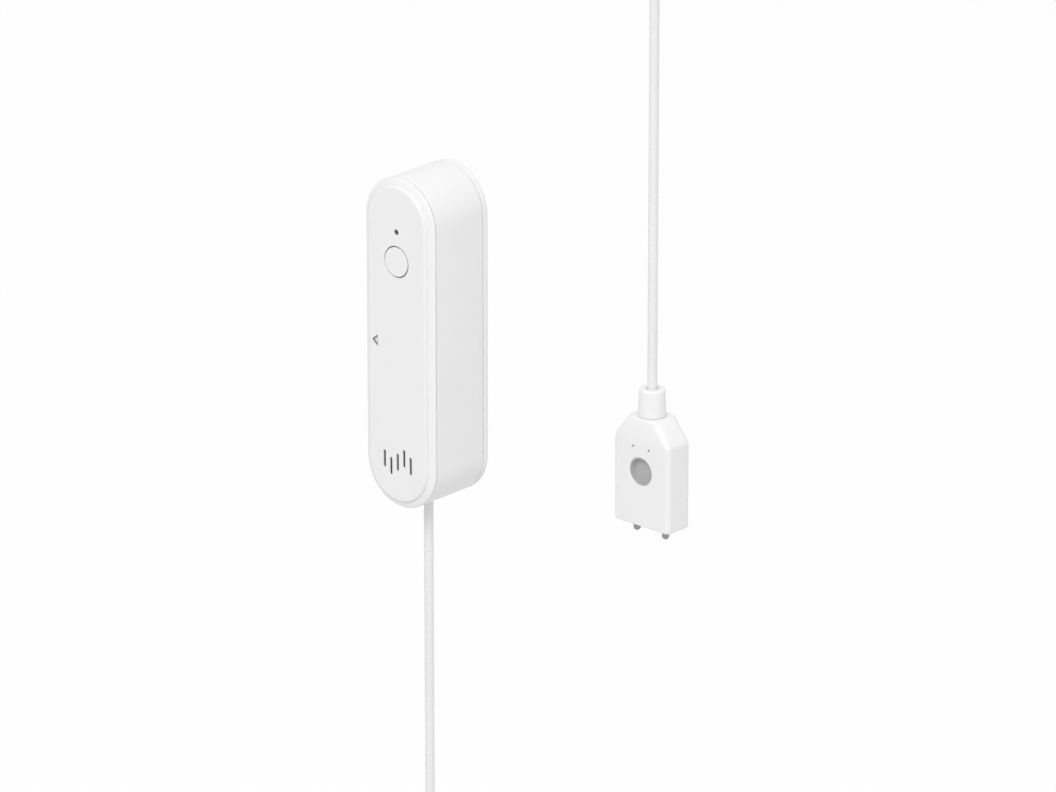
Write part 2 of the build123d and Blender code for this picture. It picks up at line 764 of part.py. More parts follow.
# Probe body: a flat block whose shoulders loft up to a small ledge under the collar
shoulder_z = probe_ledge_z - shoulder_height
recess_z = probe_ledge_z - recess_drop
opening_height = shoulder_z - probe_bottom - probe_wall
opening_z = shoulder_z - opening_height / 2
opening_width = probe_width - 2 * probe_wall
opening_round = probe_corner - probe_wall / 2
with BuildPart() as probe_body:
    with BuildSketch(probe_plane(probe_bottom)):
        RectangleRounded(probe_width, probe_thickness, probe_corner)
    extrude(amount=shoulder_z - probe_bottom)
    with BuildSketch(probe_plane(shoulder_z)):
        RectangleRounded(probe_width, probe_thickness, probe_corner)
    with BuildSketch(probe_plane(probe_ledge_z)):
        RectangleRounded(probe_ledge_width, probe_thickness, probe_ledge_corner)
    loft()
    fillet(probe_body.faces().sort_by(Axis.Z)[0].edges(), radius=probe_edge_round)
    fillet(probe_body.faces().sort_by(Axis.Z)[-1].edges(), radius=probe_edge_round)
    # opening for the lid, then the cavity behind its step
    with BuildSketch(probe_front(0)):
        with Locations((0, opening_z)):
            RectangleRounded(opening_width, opening_height, opening_round)
    extrude(amount=probe_lid_thickness, mode=Mode.SUBTRACT)
    with BuildSketch(probe_front(probe_lid_thickness)):
        with Locations((0, shoulder_z)):
            Rectangle(
                opening_width - 2 * probe_lid_step,
                opening_height - probe_lid_step,
                align=(Align.CENTER, Align.MAX),
            )
        with Locations((0, shoulder_z)):
            Rectangle(
                opening_width,
                probe_lid_step,
                align=(Align.CENTER, Align.MAX),
                mode=Mode.SUBTRACT,
            )
    extrude(amount=probe_thickness - probe_wall - probe_lid_thickness, mode=Mode.SUBTRACT)
    # boss behind the round recess, and the recess
    with BuildSketch(probe_front(probe_thickness - recess_depth - cup_boss_wall)):
        with Locations((0, recess_z)):
            Circle(recess_diameter / 2 + cup_boss_wall)
    extrude(amount=recess_depth + cup_boss_wall - probe_wall)
    with BuildSketch(probe_front(probe_thickness - recess_depth)):
        with Locations((0, recess_z)):
            Circle(recess_diameter / 2)
    extrude(amount=recess_depth, mode=Mode.SUBTRACT)
    # two tiny blind holes
    with BuildSketch(probe_front(probe_thickness - tiny_hole_depth)):
        with Locations((0, probe_ledge_z - tiny_hole_drop)):
            with GridLocations(tiny_hole_spacing, 0, 2, 1):
                Circle(tiny_hole_diameter / 2)
    extrude(amount=tiny_hole_depth, mode=Mode.SUBTRACT)
    # bores for the pins and for the collar's spigot
    with BuildSketch(probe_plane(probe_bottom)):
        with GridLocations(pin_spacing, 0, 2, 1):
            Circle(pin_diameter / 2 + pin_clearance)
    extrude(amount=probe_wall + probe_lid_step + overrun, mode=Mode.SUBTRACT)
    with BuildSketch(probe_plane(shoulder_z - overrun)):
        Circle(collar_spigot_diameter / 2 + fit_clearance)
    extrude(amount=shoulder_height + overrun, mode=Mode.SUBTRACT)
save(probe_body.part, "probe_body")

with BuildPart() as probe_back:
    with BuildSketch(probe_front(0)):
        with Locations((0, opening_z)):
            RectangleRounded(
                opening_width - 2 * probe_lid_clearance,
                opening_height - 2 * probe_lid_clearance,
                opening_round,
            )
    extrude(amount=probe_lid_thickness)
save(probe_back.part, "probe_back")

# Cup that lines the recess, its bore closing slightly towards a rounded floor
cup_radius = recess_diameter / 2 - cup_clearance
cup_front = probe_thickness - cup_setback
cup_back = probe_thickness - recess_depth
with BuildPart() as recess_cup:
    with BuildSketch(probe_front(cup_back)):
        with Locations((0, recess_z)):
            Circle(cup_radius)
    extrude(amount=cup_front - cup_back)
    with BuildSketch(probe_front(cup_back + cup_wall)):
        with Locations((0, recess_z)):
            Circle(cup_radius - cup_wall - cup_taper)
    with BuildSketch(probe_front(cup_front)):
        with Locations((0, recess_z)):
            Circle(cup_radius - cup_wall)
    loft(mode=Mode.SUBTRACT)
    floor_rim = recess_cup.edges().filter_by(GeomType.CIRCLE).sort_by(SortBy.RADIUS)[0]
    fillet(floor_rim, radius=cup_round)
save(recess_cup.part, "recess_cup")

# Collar: a tapered sleeve with a rounded top and a spigot in the body
with BuildPart() as probe_collar:
    with BuildSketch(probe_plane(probe_ledge_z)):
        Circle(collar_base_diameter / 2)
    with BuildSketch(probe_plane(probe_ledge_z + collar_height)):
        Circle(collar_top_diameter / 2)
    loft()
    fillet(probe_collar.edges().sort_by(Axis.Z)[-1], radius=collar_round)
    with BuildSketch(probe_plane(shoulder_z)):
        Circle(collar_spigot_diameter / 2)
    extrude(amount=shoulder_height)
    with BuildSketch(probe_plane(shoulder_z)):
        Circle(lead_radius + fit_clearance)
    extrude(amount=shoulder_height + collar_height, mode=Mode.SUBTRACT)
save(probe_collar.part, "probe_collar")

# Contact pins: domed below, each with a collar that seats inside the bottom wall
pin_seat = probe_bottom + probe_wall + probe_lid_step
pin_top = pin_seat + pin_root
for pin_name, side in (("contact_pin_left", -1), ("contact_pin_right", 1)):
    with BuildPart() as contact_pin:
        with BuildSketch(probe_plane(probe_bottom - pin_reach + pin_diameter / 2)):
            with Locations((side * pin_spacing / 2, 0)):
                Circle(pin_diameter / 2)
        extrude(amount=pin_top - probe_bottom + pin_reach - pin_diameter / 2)
        with Locations(
            (
                probe_x + side * pin_spacing / 2,
                -probe_depth,
                probe_bottom - pin_reach + pin_diameter / 2,
            )
        ):
            Sphere(pin_diameter / 2)
        with BuildSketch(probe_plane(pin_seat)):
            with Locations((side * pin_spacing / 2, 0)):
                Circle(pin_diameter / 2 + pin_collar)
        extrude(amount=pin_collar_thickness)
    save(contact_pin.part, pin_name)

# Small board on the pins' ends, with the lead's jacket and cores above it
with BuildPart() as probe_board:
    with BuildSketch(probe_plane(pin_top)):
        Rectangle(probe_board_width, probe_board_thickness)
    extrude(amount=probe_board_height)
save(probe_board.part, "probe_board")

collar_top = probe_ledge_z + collar_height
with BuildPart() as probe_tail:
    with BuildSketch(probe_plane(probe_tail_end)):
        Circle(lead_radius)
    extrude(amount=collar_top - probe_tail_end)
save(probe_tail.part, "probe_tail")

with BuildPart() as probe_cores:
    with BuildSketch(probe_plane(pin_top + probe_board_height)):
        with GridLocations(core_spacing, 0, 2, 1):
            Circle(core_diameter / 2)
    extrude(amount=probe_tail_end - pin_top - probe_board_height)
save(probe_cores.part, "probe_cores")

# Lead between unit and coil, straight down
coil_outer_turn = coil_mean_radius + (coil_layers - 1) / 2 * lead_pitch
coil_x = coil_outer_turn
coil_entry_z = coil_z + stub_length
with BuildPart() as lead_upper:
    with BuildSketch(Plane.XY.offset(coil_entry_z)):
        with Locations((0, -lead_depth)):
            Circle(lead_radius)
    extrude(amount=unit_bottom - coil_entry_z)
save(lead_upper.part, "lead_upper")

# Coil: one ring of the bundle's outer shape, with the lead's two ends leaving it
bundle = (coil_layers - 1) * lead_pitch + lead_diameter
bundle_depth = lead_depth - (coil_layers - 1) / 2 * lead_pitch
coil_exit_depth = lead_depth - (coil_layers - 1) * lead_pitch
coil_axis = Axis((coil_x, 0, coil_z), (0, 1, 0))
with BuildPart() as lead_coil:
    with BuildSketch(Plane.XY.offset(coil_z)):
        with Locations((coil_x + coil_mean_radius, -bundle_depth)):
            RectangleRounded(bundle, bundle, coil_edge_round)
    revolve(axis=coil_axis)
    with BuildSketch(Plane.XY.offset(coil_z)):
        with Locations((0, -lead_depth)):
            Circle(lead_radius)
    extrude(amount=stub_length)
    with BuildSketch(Plane.YZ.offset(coil_x)):
        with Locations((-coil_exit_depth, coil_z - coil_outer_turn)):
            Circle(lead_radius)
    extrude(amount=stub_length)
save(lead_coil.part, "lead_coil")

# Ties round the bundle
for tie_name, tie_angle in tie_angles.items():
    tie_plane = Plane(origin=(coil_x, -bundle_depth, coil_z), x_dir=(1, 0, 0), z_dir=(0, 0, 1))
    tie_plane = tie_plane.rotated((0, tie_angle, 0))
    with BuildPart() as coil_tie:
        with BuildSketch(tie_plane):
            with Locations((coil_mean_radius, 0)):
                RectangleRounded(
                    bundle + 2 * tie_gap + 2 * tie_thickness,
                    bundle + 2 * tie_gap + 2 * tie_thickness,
                    coil_edge_round + tie_gap + tie_thickness,
                )
                RectangleRounded(
                    bundle + 2 * tie_gap,
                    bundle + 2 * tie_gap,
                    coil_edge_round + tie_gap,
                    mode=Mode.SUBTRACT,
                )
        extrude(amount=tie_width / 2, both=True)
    save(coil_tie.part, tie_name)

# Lead from the coil to the probe: straight runs joined by tangent arcs
coil_exit = Vector(coil_x + stub_length, -coil_exit_depth, coil_z - coil_outer_turn)
probe_entry = Vector(probe_x, -probe_depth, collar_top)
corners = [Vector(x, -depth, z) for x, depth, z, clip_name in lead_route]
route = [coil_exit] + corners + [probe_entry]
runs = [b - a for a, b in zip(route, route[1:])]
turns = [a.get_angle(b) for a, b in zip(runs, runs[1:])]
bend_share = 0.45
radii = [
    bend_share * min(a.length, b.length) / tan(radians(turn) / 2)
    for a, b, turn in zip(runs, runs[1:], turns)
]
with BuildPart() as lead_run:
    with BuildLine() as lead_line:
        FilletPolyline(*route, radius=radii)
    with BuildSketch(Plane(origin=lead_line.line @ 0, z_dir=lead_line.line % 0)):
        Circle(lead_radius)
    sweep(path=lead_line.line)
save(lead_run.part, "lead_run")
print("radii", [round(radius, 1) for radius in radii])
print("turns", [round(turn, 1) for turn in turns])
line_length = sum(edge.length for edge in lead_line.edges())
print("tube volume", round(lead_run.part.volume, 1), "section x length",
      round(pi * lead_radius**2 * line_length, 1))
coil_length = coil_turns * 2 * pi * coil_mean_radius
straight_length = unit_bottom - coil_entry_z + 2 * stub_length
print("lead length", round(line_length + coil_length + straight_length, 1))

# Wall clips, each at the middle of a run
clip_bore = lead_radius + clip_clearance
for corner, run, (*_, clip_name) in zip(corners, runs[1:], lead_route):
    if clip_name is None:
        continue
    clip_middle = corner + run / 2
    along = run.normalized()
    clip_plane = Plane(
        origin=clip_middle, x_dir=Vector(0, -1, 0).cross(along), z_dir=along
    )
    with BuildPart() as clip:
        with BuildSketch(clip_plane):
            with Locations((0, -route_depth)):
                Rectangle(
                    clip_base_width, clip_base_thickness, align=(Align.CENTER, Align.MIN)
                )
                Rectangle(clip_neck, route_depth, align=(Align.CENTER, Align.MIN))
            Circle(clip_bore + clip_wall)
            Circle(clip_bore, mode=Mode.SUBTRACT)
            Rectangle(
                lead_diameter * clip_mouth_share,
                clip_bore + clip_wall + overrun,
                align=(Align.CENTER, Align.MIN),
                mode=Mode.SUBTRACT,
            )
        extrude(amount=clip_length / 2, both=True)
    save(clip.part, clip_name)
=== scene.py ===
import json
import logging
import math
from collections.abc import Iterable, Sequence
from dataclasses import dataclass, field
from enum import Enum

import bmesh
import bpy
from mathutils import Matrix, Vector


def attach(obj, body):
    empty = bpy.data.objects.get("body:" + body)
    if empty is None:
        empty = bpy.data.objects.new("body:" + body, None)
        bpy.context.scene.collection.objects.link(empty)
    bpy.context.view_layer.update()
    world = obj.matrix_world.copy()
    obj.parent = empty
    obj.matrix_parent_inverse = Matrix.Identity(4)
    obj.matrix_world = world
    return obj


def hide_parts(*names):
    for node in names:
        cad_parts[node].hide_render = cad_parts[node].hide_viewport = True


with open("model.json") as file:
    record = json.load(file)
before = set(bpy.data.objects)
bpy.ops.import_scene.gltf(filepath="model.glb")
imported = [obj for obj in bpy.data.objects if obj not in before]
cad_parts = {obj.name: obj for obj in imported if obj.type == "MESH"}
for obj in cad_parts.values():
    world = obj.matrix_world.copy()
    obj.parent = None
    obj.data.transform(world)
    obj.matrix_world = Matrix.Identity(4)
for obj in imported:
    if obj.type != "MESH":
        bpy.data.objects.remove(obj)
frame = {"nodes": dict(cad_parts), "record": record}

log = logging.getLogger("leak_detector")

MM = 0.001
UNIT_BODY = "unit"
BUTTON_BODY = "button"

Point2 = tuple[float, float]
Point3 = tuple[float, float, float]
Colour = tuple[float, float, float, float]
Corners = Sequence[tuple[float, ...]]
Ring = list[bmesh.types.BMVert]
Piece = bpy.types.Object
Tree = bpy.types.NodeTree
Socket = bpy.types.NodeSocket


class Pattern(Enum):
    """What varies over a finish, beside its fine grain."""

    EVEN = "even"
    TRACES = "traces"
    BRUSHED = "brushed"
    FOAM = "foam"


@dataclass(frozen=True)
class Rounded:
    """A convex outline: every point within a radius of its core, walked anticlockwise.

    One core point makes a circle, two a pill, three a soft triangle, four a soft rectangle.
    """

    core: tuple[Point2, ...]
    radius: float
    steps: int = 12
    least: float = 0.02

    def ring(self, grow: float = 0.0) -> list[Point2]:
        """The outline's points, moved outwards by grow.

        Args:
            grow: distance outwards, or inwards where it is negative.

        Returns:
            The points in order, always the same number of them.
        """
        reach = self.radius + grow
        core, count = self.core, len(self.core)
        if reach < self.least:
            core, reach = self.drawn_in(self.least - reach), self.least
        if count == 1:
            turns = [math.tau * i / (4 * self.steps) for i in range(4 * self.steps)]
            return [self._out(core[0], reach, turn) for turn in turns]
        points = []
        for i, corner in enumerate(core):
            before, after = core[i - 1], core[(i + 1) % count]
            start = math.atan2(corner[1] - before[1], corner[0] - before[0]) - math.pi / 2
            end = math.atan2(after[1] - corner[1], after[0] - corner[0]) - math.pi / 2
            while end <= start:
                end += math.tau
            for step in range(self.steps + 1):
                turn = start + (end - start) * step / self.steps
                points.append(self._out(corner, reach, turn))
        return points

    def drawn_in(self, inset: float) -> list[Point2]:
        """The core's corners moved inwards so that each of its sides moves by inset.

        Args:
            inset: how far the sides move.

        Returns:
            The moved corners.
        """
        out = []
        for i, corner in enumerate(self.core):
            here = Vector(corner)
            back = (Vector(self.core[i - 1]) - here).normalized()
            ahead = (Vector(self.core[(i + 1) % len(self.core)]) - here).normalized()
            inner = (back + ahead).normalized()
            moved = here + inner * (inset / math.sin(back.angle(ahead) / 2))
            out.append((moved.x, moved.y))
        return out

    @staticmethod
    def _out(centre: Point2, reach: float, turn: float) -> Point2:
        """The point at that reach and turn from a centre."""
        return (centre[0] + reach * math.cos(turn), centre[1] + reach * math.sin(turn))


def pill(height: float, width: float, centre: Point2 = (0.0, 0.0), steps: int = 32) -> Rounded:
    """An upright pill outline.

    Args:
        height: overall height.
        width: overall width.
        centre: its middle.
        steps: divisions of each round end.

    Returns:
        The outline.
    """
    half = (height - width) / 2
    x, z = centre
    return Rounded(((x, z - half), (x, z + half)), width / 2, steps)


def soft_rectangle(
    width: float, height: float, corner: float, centre: Point2 = (0.0, 0.0), steps: int = 8
) -> Rounded:
    """A rectangle with round corners.

    Args:
        width: overall width.
        height: overall height.
        corner: the corners' radius.
        centre: its middle.
        steps: divisions of each corner.

    Returns:
        The outline, whose first corner is at the lower left.
    """
    a, b = width / 2 - corner, height / 2 - corner
    x, z = centre
    return Rounded(((x - a, z - b), (x + a, z - b), (x + a, z + b), (x - a, z + b)), corner, steps)


def softened(corners: Corners, steps: int = 5) -> list[Point2]:
    """Rounds the corners of an open profile.

    Args:
        corners: points as (across, along), or (across, along, radius) where one is rounded.
        steps: divisions of each round.

    Returns:
        The profile's points.
    """
    out: list[Point2] = []
    for i, corner in enumerate(corners):
        here = Vector(corner[:2])
        radius = corner[2] if len(corner) > 2 else 0.0
        if radius <= 0 or i in (0, len(corners) - 1):
            out.append((here.x, here.y))
            continue
        back = (Vector(corners[i - 1][:2]) - here).normalized()
        ahead = (Vector(corners[i + 1][:2]) - here).normalized()
        half = back.angle(ahead) / 2
        touch = radius / math.tan(half)
        middle = here + (back + ahead).normalized() * (radius / math.sin(half))
        start, end = here + back * touch - middle, here + ahead * touch - middle
        sweep = start.angle_signed(end)
        for step in range(steps + 1):
            spoke = Matrix.Rotation(-sweep * step / steps, 2) @ start
            out.append((middle.x + spoke.x, middle.y + spoke.y))
    return out


def new_object(name: str, data: bpy.types.ID) -> Piece:
    """Puts a new object in the scene, unturned and at the origin.

    Args:
        name: its name.
        data: its mesh, curve, lamp or camera.

    Returns:
        The object.
    """
    made = bpy.data.objects.new(name, data)
    bpy.context.scene.collection.objects.link(made)
    return made


def settle(piece: Piece, helper: Piece) -> None:
    """Makes a piece the plain mesh that its modifiers give.

    Args:
        piece: the piece.
        helper: the object that the modifiers use; it is deleted.
    """
    depsgraph = bpy.context.evaluated_depsgraph_get()
    made = bpy.data.meshes.new_from_object(piece.evaluated_get(depsgraph))
    piece.modifiers.clear()
    piece.data = made
    bpy.data.objects.remove(helper)


@dataclass
class Skin:
    """A closed mesh put together from rings of points, in millimetres."""

    name: str
    mesh: bmesh.types.BMesh = field(default_factory=bmesh.new)

    def ring(self, points: Iterable[Point3]) -> Ring:
        """Adds one ring of points and gives its vertices."""
        return [self.mesh.verts.new(Vector(point) * MM) for point in points]

    def bridge(self, low: Ring, high: Ring, skip: Sequence[int] = ()) -> None:
        """Joins two rings with a band of faces.

        Args:
            low: one ring.
            high: the other, with as many points.
            skip: numbers of the faces left out of the band.
        """
        count = len(low)
        for i in range(count):
            if i not in skip:
                j = (i + 1) % count
                self.mesh.faces.new((low[i], low[j], high[j], high[i]))

    def bands(self, rings: Sequence[Ring]) -> None:
        """Joins each ring to the next."""
        for low, high in zip(rings, rings[1:]):
            self.bridge(low, high)

    def tube(self, outline: Rounded, profile: Sequence[Point2]) -> list[Ring]:
        """Joined rings of an outline that faces the viewer.

        Args:
            outline: the outline.
            profile: (growth, depth) of each ring in order.

        Returns:
            The rings.
        """
        rings = [self.ring(at_depth(outline, grow, depth)) for grow, depth in profile]
        self.bands(rings)
        return rings

    def flat(self, loops: Sequence[Ring]) -> None:
        """Fills a flat face between an outer loop and the loops of its holes.

        Args:
            loops: the outer loop, then the holes' loops.
        """
        edges = []
        for loop in loops:
            for a, b in zip(loop, loop[1:] + loop[:1]):
                edges.append(self.mesh.edges.get((a, b)) or self.mesh.edges.new((a, b)))
        bmesh.ops.triangle_fill(self.mesh, use_beauty=True, use_dissolve=False, edges=edges)

    def cap(self, rings: Sequence[Ring], holes: Sequence[tuple[Ring, Ring | None]] = ()) -> None:
        """Fills the first and the last ring round the holes in them.

        Args:
            rings: the rings of the outside.
            holes: each hole's ring in the first face and in the last, where it gets there.
        """
        self.flat([rings[0]] + [near for near, far in holes])
        self.flat([rings[-1]] + [far for near, far in holes if far])

    def build(self, sharp: float = 38.0) -> Piece:
        """Turns the rings into an object.

        Args:
            sharp: angle in degrees past which an edge isn't smoothed.

        Returns:
            The object, with its faces pointing outwards.
        """
        bmesh.ops.remove_doubles(self.mesh, verts=self.mesh.verts, dist=1e-7)
        bmesh.ops.recalc_face_normals(self.mesh, faces=self.mesh.faces)
        data = bpy.data.meshes.new(self.name)
        self.mesh.to_mesh(data)
        self.mesh.free()
        data.shade_smooth()
        data.set_sharp_from_angle(angle=math.radians(sharp))
        return new_object(self.name, data)


def at_depth(outline: Rounded, grow: float, depth: float) -> list[Point3]:
    """An outline's ring in the plane parallel to the wall at that depth."""
    return [(x, -depth, z) for x, z in outline.ring(grow)]


@dataclass
class Hole:
    """A hole or a blind recess through a face parallel to the wall.

    Its profile runs inwards from the face, as (growth of the outline, depth).
    """

    outline: Rounded
    profile: list[Point2]
    blind: bool = False

    def cut(self, skin: Skin) -> tuple[Ring, Ring | None]:
        """Adds the hole's wall to a skin, and its floor where it is blind.

        Args:
            skin: the mesh that has the hole.

        Returns:
            The rings at the two ends of the wall, the second only where the hole is open.
        """
        rings = skin.tube(self.outline, self.profile)
        if self.blind:
            skin.flat([rings[-1]])
            return rings[0], None
        return rings[0], rings[-1]


def lathe(
    name: str, corners: Corners, centre: Point3, axis: str, steps: int = 12, soft: int = 5
) -> Piece:
    """A closed turned piece.

    Args:
        name: the piece's name.
        corners: (radius, distance along the axis) in order round the section, with a third
            number where a corner is rounded.
        centre: where distance nought is.
        axis: "Z" for upwards or "-Y" for out of the wall.
        steps: a quarter of the divisions round it.
        soft: divisions of each rounded corner.

    Returns:
        The object.
    """
    skin = Skin(name)
    x, y, z = centre
    rings = []
    for radius, along in softened(corners, soft):
        circle = Rounded(((0.0, 0.0),), radius, steps).ring()
        if axis == "Z":
            rings.append(skin.ring((x + a, y + b, z + along) for a, b in circle))
        else:
            rings.append(skin.ring((x + a, y - along, z + b) for a, b in circle))
    skin.bands(rings)
    if corners[0] != corners[-1]:
        skin.cap(rings)
    return skin.build()


def boxed(near: float, far: float, low: float, high: float) -> list[Point2]:
    """The closed profile of a ring with a square section."""
    return [(near, low), (near, high), (far, high), (far, low), (near, low)]


class NodeTools:
    """Short ways to add nodes to a tree and to link them."""

    @staticmethod
    def feed(tree: Tree, socket: Socket, value: object) -> None:
        """Links a socket to another one, or sets its value.

        Args:
            tree: the tree.
            socket: the input.
            value: the other socket, or the value.
        """
        if isinstance(value, Socket):
            tree.links.new(value, socket)
        else:
            socket.default_value = value

    @staticmethod
    def add(tree: Tree, kind: str, *first: object, **values: object) -> bpy.types.Node:
        """Adds a node and sets or links it.

        Args:
            tree: the tree.
            kind: the node's type.
            *first: what its first inputs get, in their order.
            **values: its properties, and then what inputs get by name, spaces as underscores.

        Returns:
            The node.
        """
        node = tree.nodes.new(kind)
        for key, value in values.items():
            if hasattr(node, key):
                setattr(node, key, value)
            else:
                NodeTools.feed(tree, node.inputs[key.replace("_", " ")], value)
        for socket, value in zip(node.inputs, first):
            NodeTools.feed(tree, socket, value)
        return node

    @staticmethod
    def mix(tree: Tree, share: Socket, low: object, high: object) -> Socket:
        """Mixes two colours.

        Args:
            tree: the tree.
            share: the share of the second.
            low: the first colour, or its socket.
            high: the second colour, or its socket.

        Returns:
            The mixed colour's socket.
        """
        node = NodeTools.add(tree, "ShaderNodeMix", data_type="RGBA", Factor=share, A=low, B=high)
        return node.outputs["Result"]


def grain_group() -> Tree:
    """The shared group for moulded grain: its height, its gloss and its slow change of tone.

    Returns:
        The node group, made once.
    """
    name = "moulded_grain"
    if name in bpy.data.node_groups:
        return bpy.data.node_groups[name]
    group = bpy.data.node_groups.new(name, "ShaderNodeTree")
    face = group.interface
    face.new_socket("Vector", in_out="INPUT", socket_type="NodeSocketVector")
    for given in ("Grain Scale", "Drift Scale"):
        face.new_socket(given, in_out="INPUT", socket_type="NodeSocketFloat")
    for output in ("Height", "Gloss", "Tone"):
        face.new_socket(output, in_out="OUTPUT", socket_type="NodeSocketFloat")
    entry = group.nodes.new("NodeGroupInput").outputs
    where, scale = entry["Vector"], entry["Grain Scale"]
    fine = NodeTools.add(
        group, "ShaderNodeTexNoise", Detail=3.0, Roughness=0.6, Vector=where, Scale=scale
    )
    pits = NodeTools.add(group, "ShaderNodeTexVoronoi", feature="F1", Vector=where, Scale=scale)
    drift = NodeTools.add(
        group,
        "ShaderNodeTexNoise",
        Detail=2.0,
        Roughness=0.5,
        Vector=where,
        Scale=entry["Drift Scale"],
    )
    noise = fine.outputs["Fac"]
    height = NodeTools.add(
        group, "ShaderNodeMath", pits.outputs["Distance"], 0.5, noise, operation="MULTIPLY_ADD"
    )
    leave = (height.outputs["Value"], noise, drift.outputs["Fac"])
    NodeTools.add(group, "NodeGroupOutput", *leave)
    return group


@dataclass(frozen=True)
class Finish:
    """A procedural finish for one of the record's material slots."""

    slot: str
    colour: tuple[float, float, float]
    roughness: float = 0.45
    metallic: float = 0.0
    grain_scale: float = 2600.0
    grain_height: float = 0.000004
    drift: float = 0.012
    drift_scale: float = 45.0
    gloss_swing: float = 0.05
    coat: float = 0.0
    pattern: Pattern = Pattern.EVEN
    second: tuple[float, float, float] = (0.5, 0.5, 0.5)

    def material(self) -> bpy.types.Material:
        """The finish's material, made once.

        Returns:
            The material.
        """
        name = self.slot + "_finish"
        if name in bpy.data.materials:
            return bpy.data.materials[name]
        made = bpy.data.materials.new(name)
        made.use_nodes = True
        made.diffuse_color = (*self.colour, 1.0)
        tree = made.node_tree
        where = tree.nodes.new("ShaderNodeTexCoord").outputs["Object"]
        grain = NodeTools.add(
            tree,
            "ShaderNodeGroup",
            node_tree=grain_group(),
            Vector=where,
            Grain_Scale=self.grain_scale,
            Drift_Scale=self.drift_scale,
        ).outputs
        bump = NodeTools.add(
            tree,
            "ShaderNodeBump",
            Distance=self.grain_height,
            Strength=1.0,
            Height=grain["Height"],
        )
        gloss = NodeTools.add(
            tree,
            "ShaderNodeMapRange",
            Value=grain["Gloss"],
            To_Min=self.roughness - self.gloss_swing,
            To_Max=self.roughness + self.gloss_swing,
        )
        dark, light = self._shade(1.0 - self.drift), self._shade(1.0 + self.drift)
        tone = NodeTools.mix(tree, grain["Tone"], dark, light)
        values = {
            "Metallic": self.metallic,
            "Coat Weight": self.coat,
            "Normal": bump.outputs["Normal"],
            "Roughness": gloss.outputs["Result"],
            "Base Color": self._patterned(tree, where, tone),
        }
        shader = next(n for n in tree.nodes if n.type == "BSDF_PRINCIPLED")
        for key, value in values.items():
            NodeTools.feed(tree, shader.inputs[key], value)
        return made

    def _shade(self, share: float) -> Colour:
        """The colour times a share, kept under white."""
        red, green, blue = (min(1.0, part * share) for part in self.colour)
        return (red, green, blue, 1.0)

    def _patterned(self, tree: Tree, where: Socket, base: Socket) -> Socket:
        """Lays the finish's pattern over its plain colour.

        Args:
            tree: the material's tree.
            where: the socket of the object's coordinates.
            base: the plain colour's socket.

        Returns:
            The socket of the colour to use.
        """
        if self.pattern is Pattern.EVEN:
            return base
        bricks = {"Scale": 420.0, "Mortar_Size": 0.03, "Brick_Width": 0.9}
        kind, mask, values = {
            Pattern.TRACES: ("ShaderNodeTexBrick", "Fac", bricks),
            Pattern.BRUSHED: ("ShaderNodeTexNoise", "Fac", {"Scale": 900.0, "Detail": 4.0}),
            Pattern.FOAM: ("ShaderNodeTexVoronoi", "Distance", {"Scale": 1600.0}),
        }[self.pattern]
        source = NodeTools.add(tree, kind, Vector=where, **values)
        return NodeTools.mix(tree, source.outputs[mask], base, (*self.second, 1.0))


FINISHES: dict[str, Finish] = {
    finish.slot: finish
    for finish in (
        Finish("white_shell", (0.86, 0.86, 0.862), 0.37),
        Finish("white_cover", (0.865, 0.865, 0.867), 0.37),
        Finish("white_button", (0.87, 0.87, 0.872), 0.36),
        Finish("white_probe", (0.86, 0.86, 0.862), 0.37),
        Finish("white_clip", (0.84, 0.84, 0.84), 0.40),
        Finish("white_tie", (0.80, 0.80, 0.80), 0.50, grain_scale=1800.0),
        # grey_cup is painted shade: its grey stands in for the shade in the probe's round recess.
        Finish("grey_cup", (0.46, 0.46, 0.465), 0.50),
        Finish("lead_jacket", (0.82, 0.82, 0.82), 0.27, grain_scale=1500.0, drift=0.01),
        Finish("lead_core", (0.45, 0.05, 0.04), 0.40),
        Finish("soft_rubber", (0.20, 0.20, 0.20), 0.62, grain_scale=1800.0),
        Finish(
            "pad_foam", (0.30, 0.30, 0.31), 0.85, grain_scale=1400.0, grain_height=0.00004,
            pattern=Pattern.FOAM, second=(0.16, 0.16, 0.17),
        ),
        Finish(
            "green_board", (0.02, 0.16, 0.06), 0.35, coat=0.3, pattern=Pattern.TRACES,
            second=(0.05, 0.28, 0.12),
        ),
        Finish("black_chip", (0.025, 0.025, 0.027), 0.50),
        Finish("white_header", (0.70, 0.67, 0.60), 0.50),
        Finish("switch_plunger", (0.05, 0.05, 0.05), 0.45),
        Finish(
            "shield_steel", (0.62, 0.62, 0.61), 0.35, metallic=1.0, pattern=Pattern.BRUSHED,
            second=(0.52, 0.52, 0.52),
        ),
        Finish("pin_steel", (0.30, 0.30, 0.30), 0.14, metallic=1.0, grain_height=0.000001),
        Finish("cell_can", (0.35, 0.36, 0.40), 0.35, metallic=0.8),
        Finish("black_plastic", (0.03, 0.03, 0.03), 0.55),
        Finish("smoked_pipe", (0.035, 0.035, 0.038), 0.18, coat=0.2),
        Finish("lamp", (0.75, 0.72, 0.45), 0.30, coat=0.4),
    )
}


def dress(piece: Piece, body: str, slot: str, *nodes: str) -> Piece:
    """Gives a new piece its finish, its body and the nodes that it stands for.

    Args:
        piece: the piece.
        body: the body that it rides on.
        slot: its material slot in the record.
        *nodes: the CAD nodes that it replaces.

    Returns:
        The piece.
    """
    piece.data.materials.clear()
    piece.data.materials.append(FINISHES[slot].material())
    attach(piece, body)
    if nodes:
        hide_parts(*nodes)
    log.info("piece %s on %s for %s", piece.name, body, ", ".join(nodes) or "nothing")
    return piece


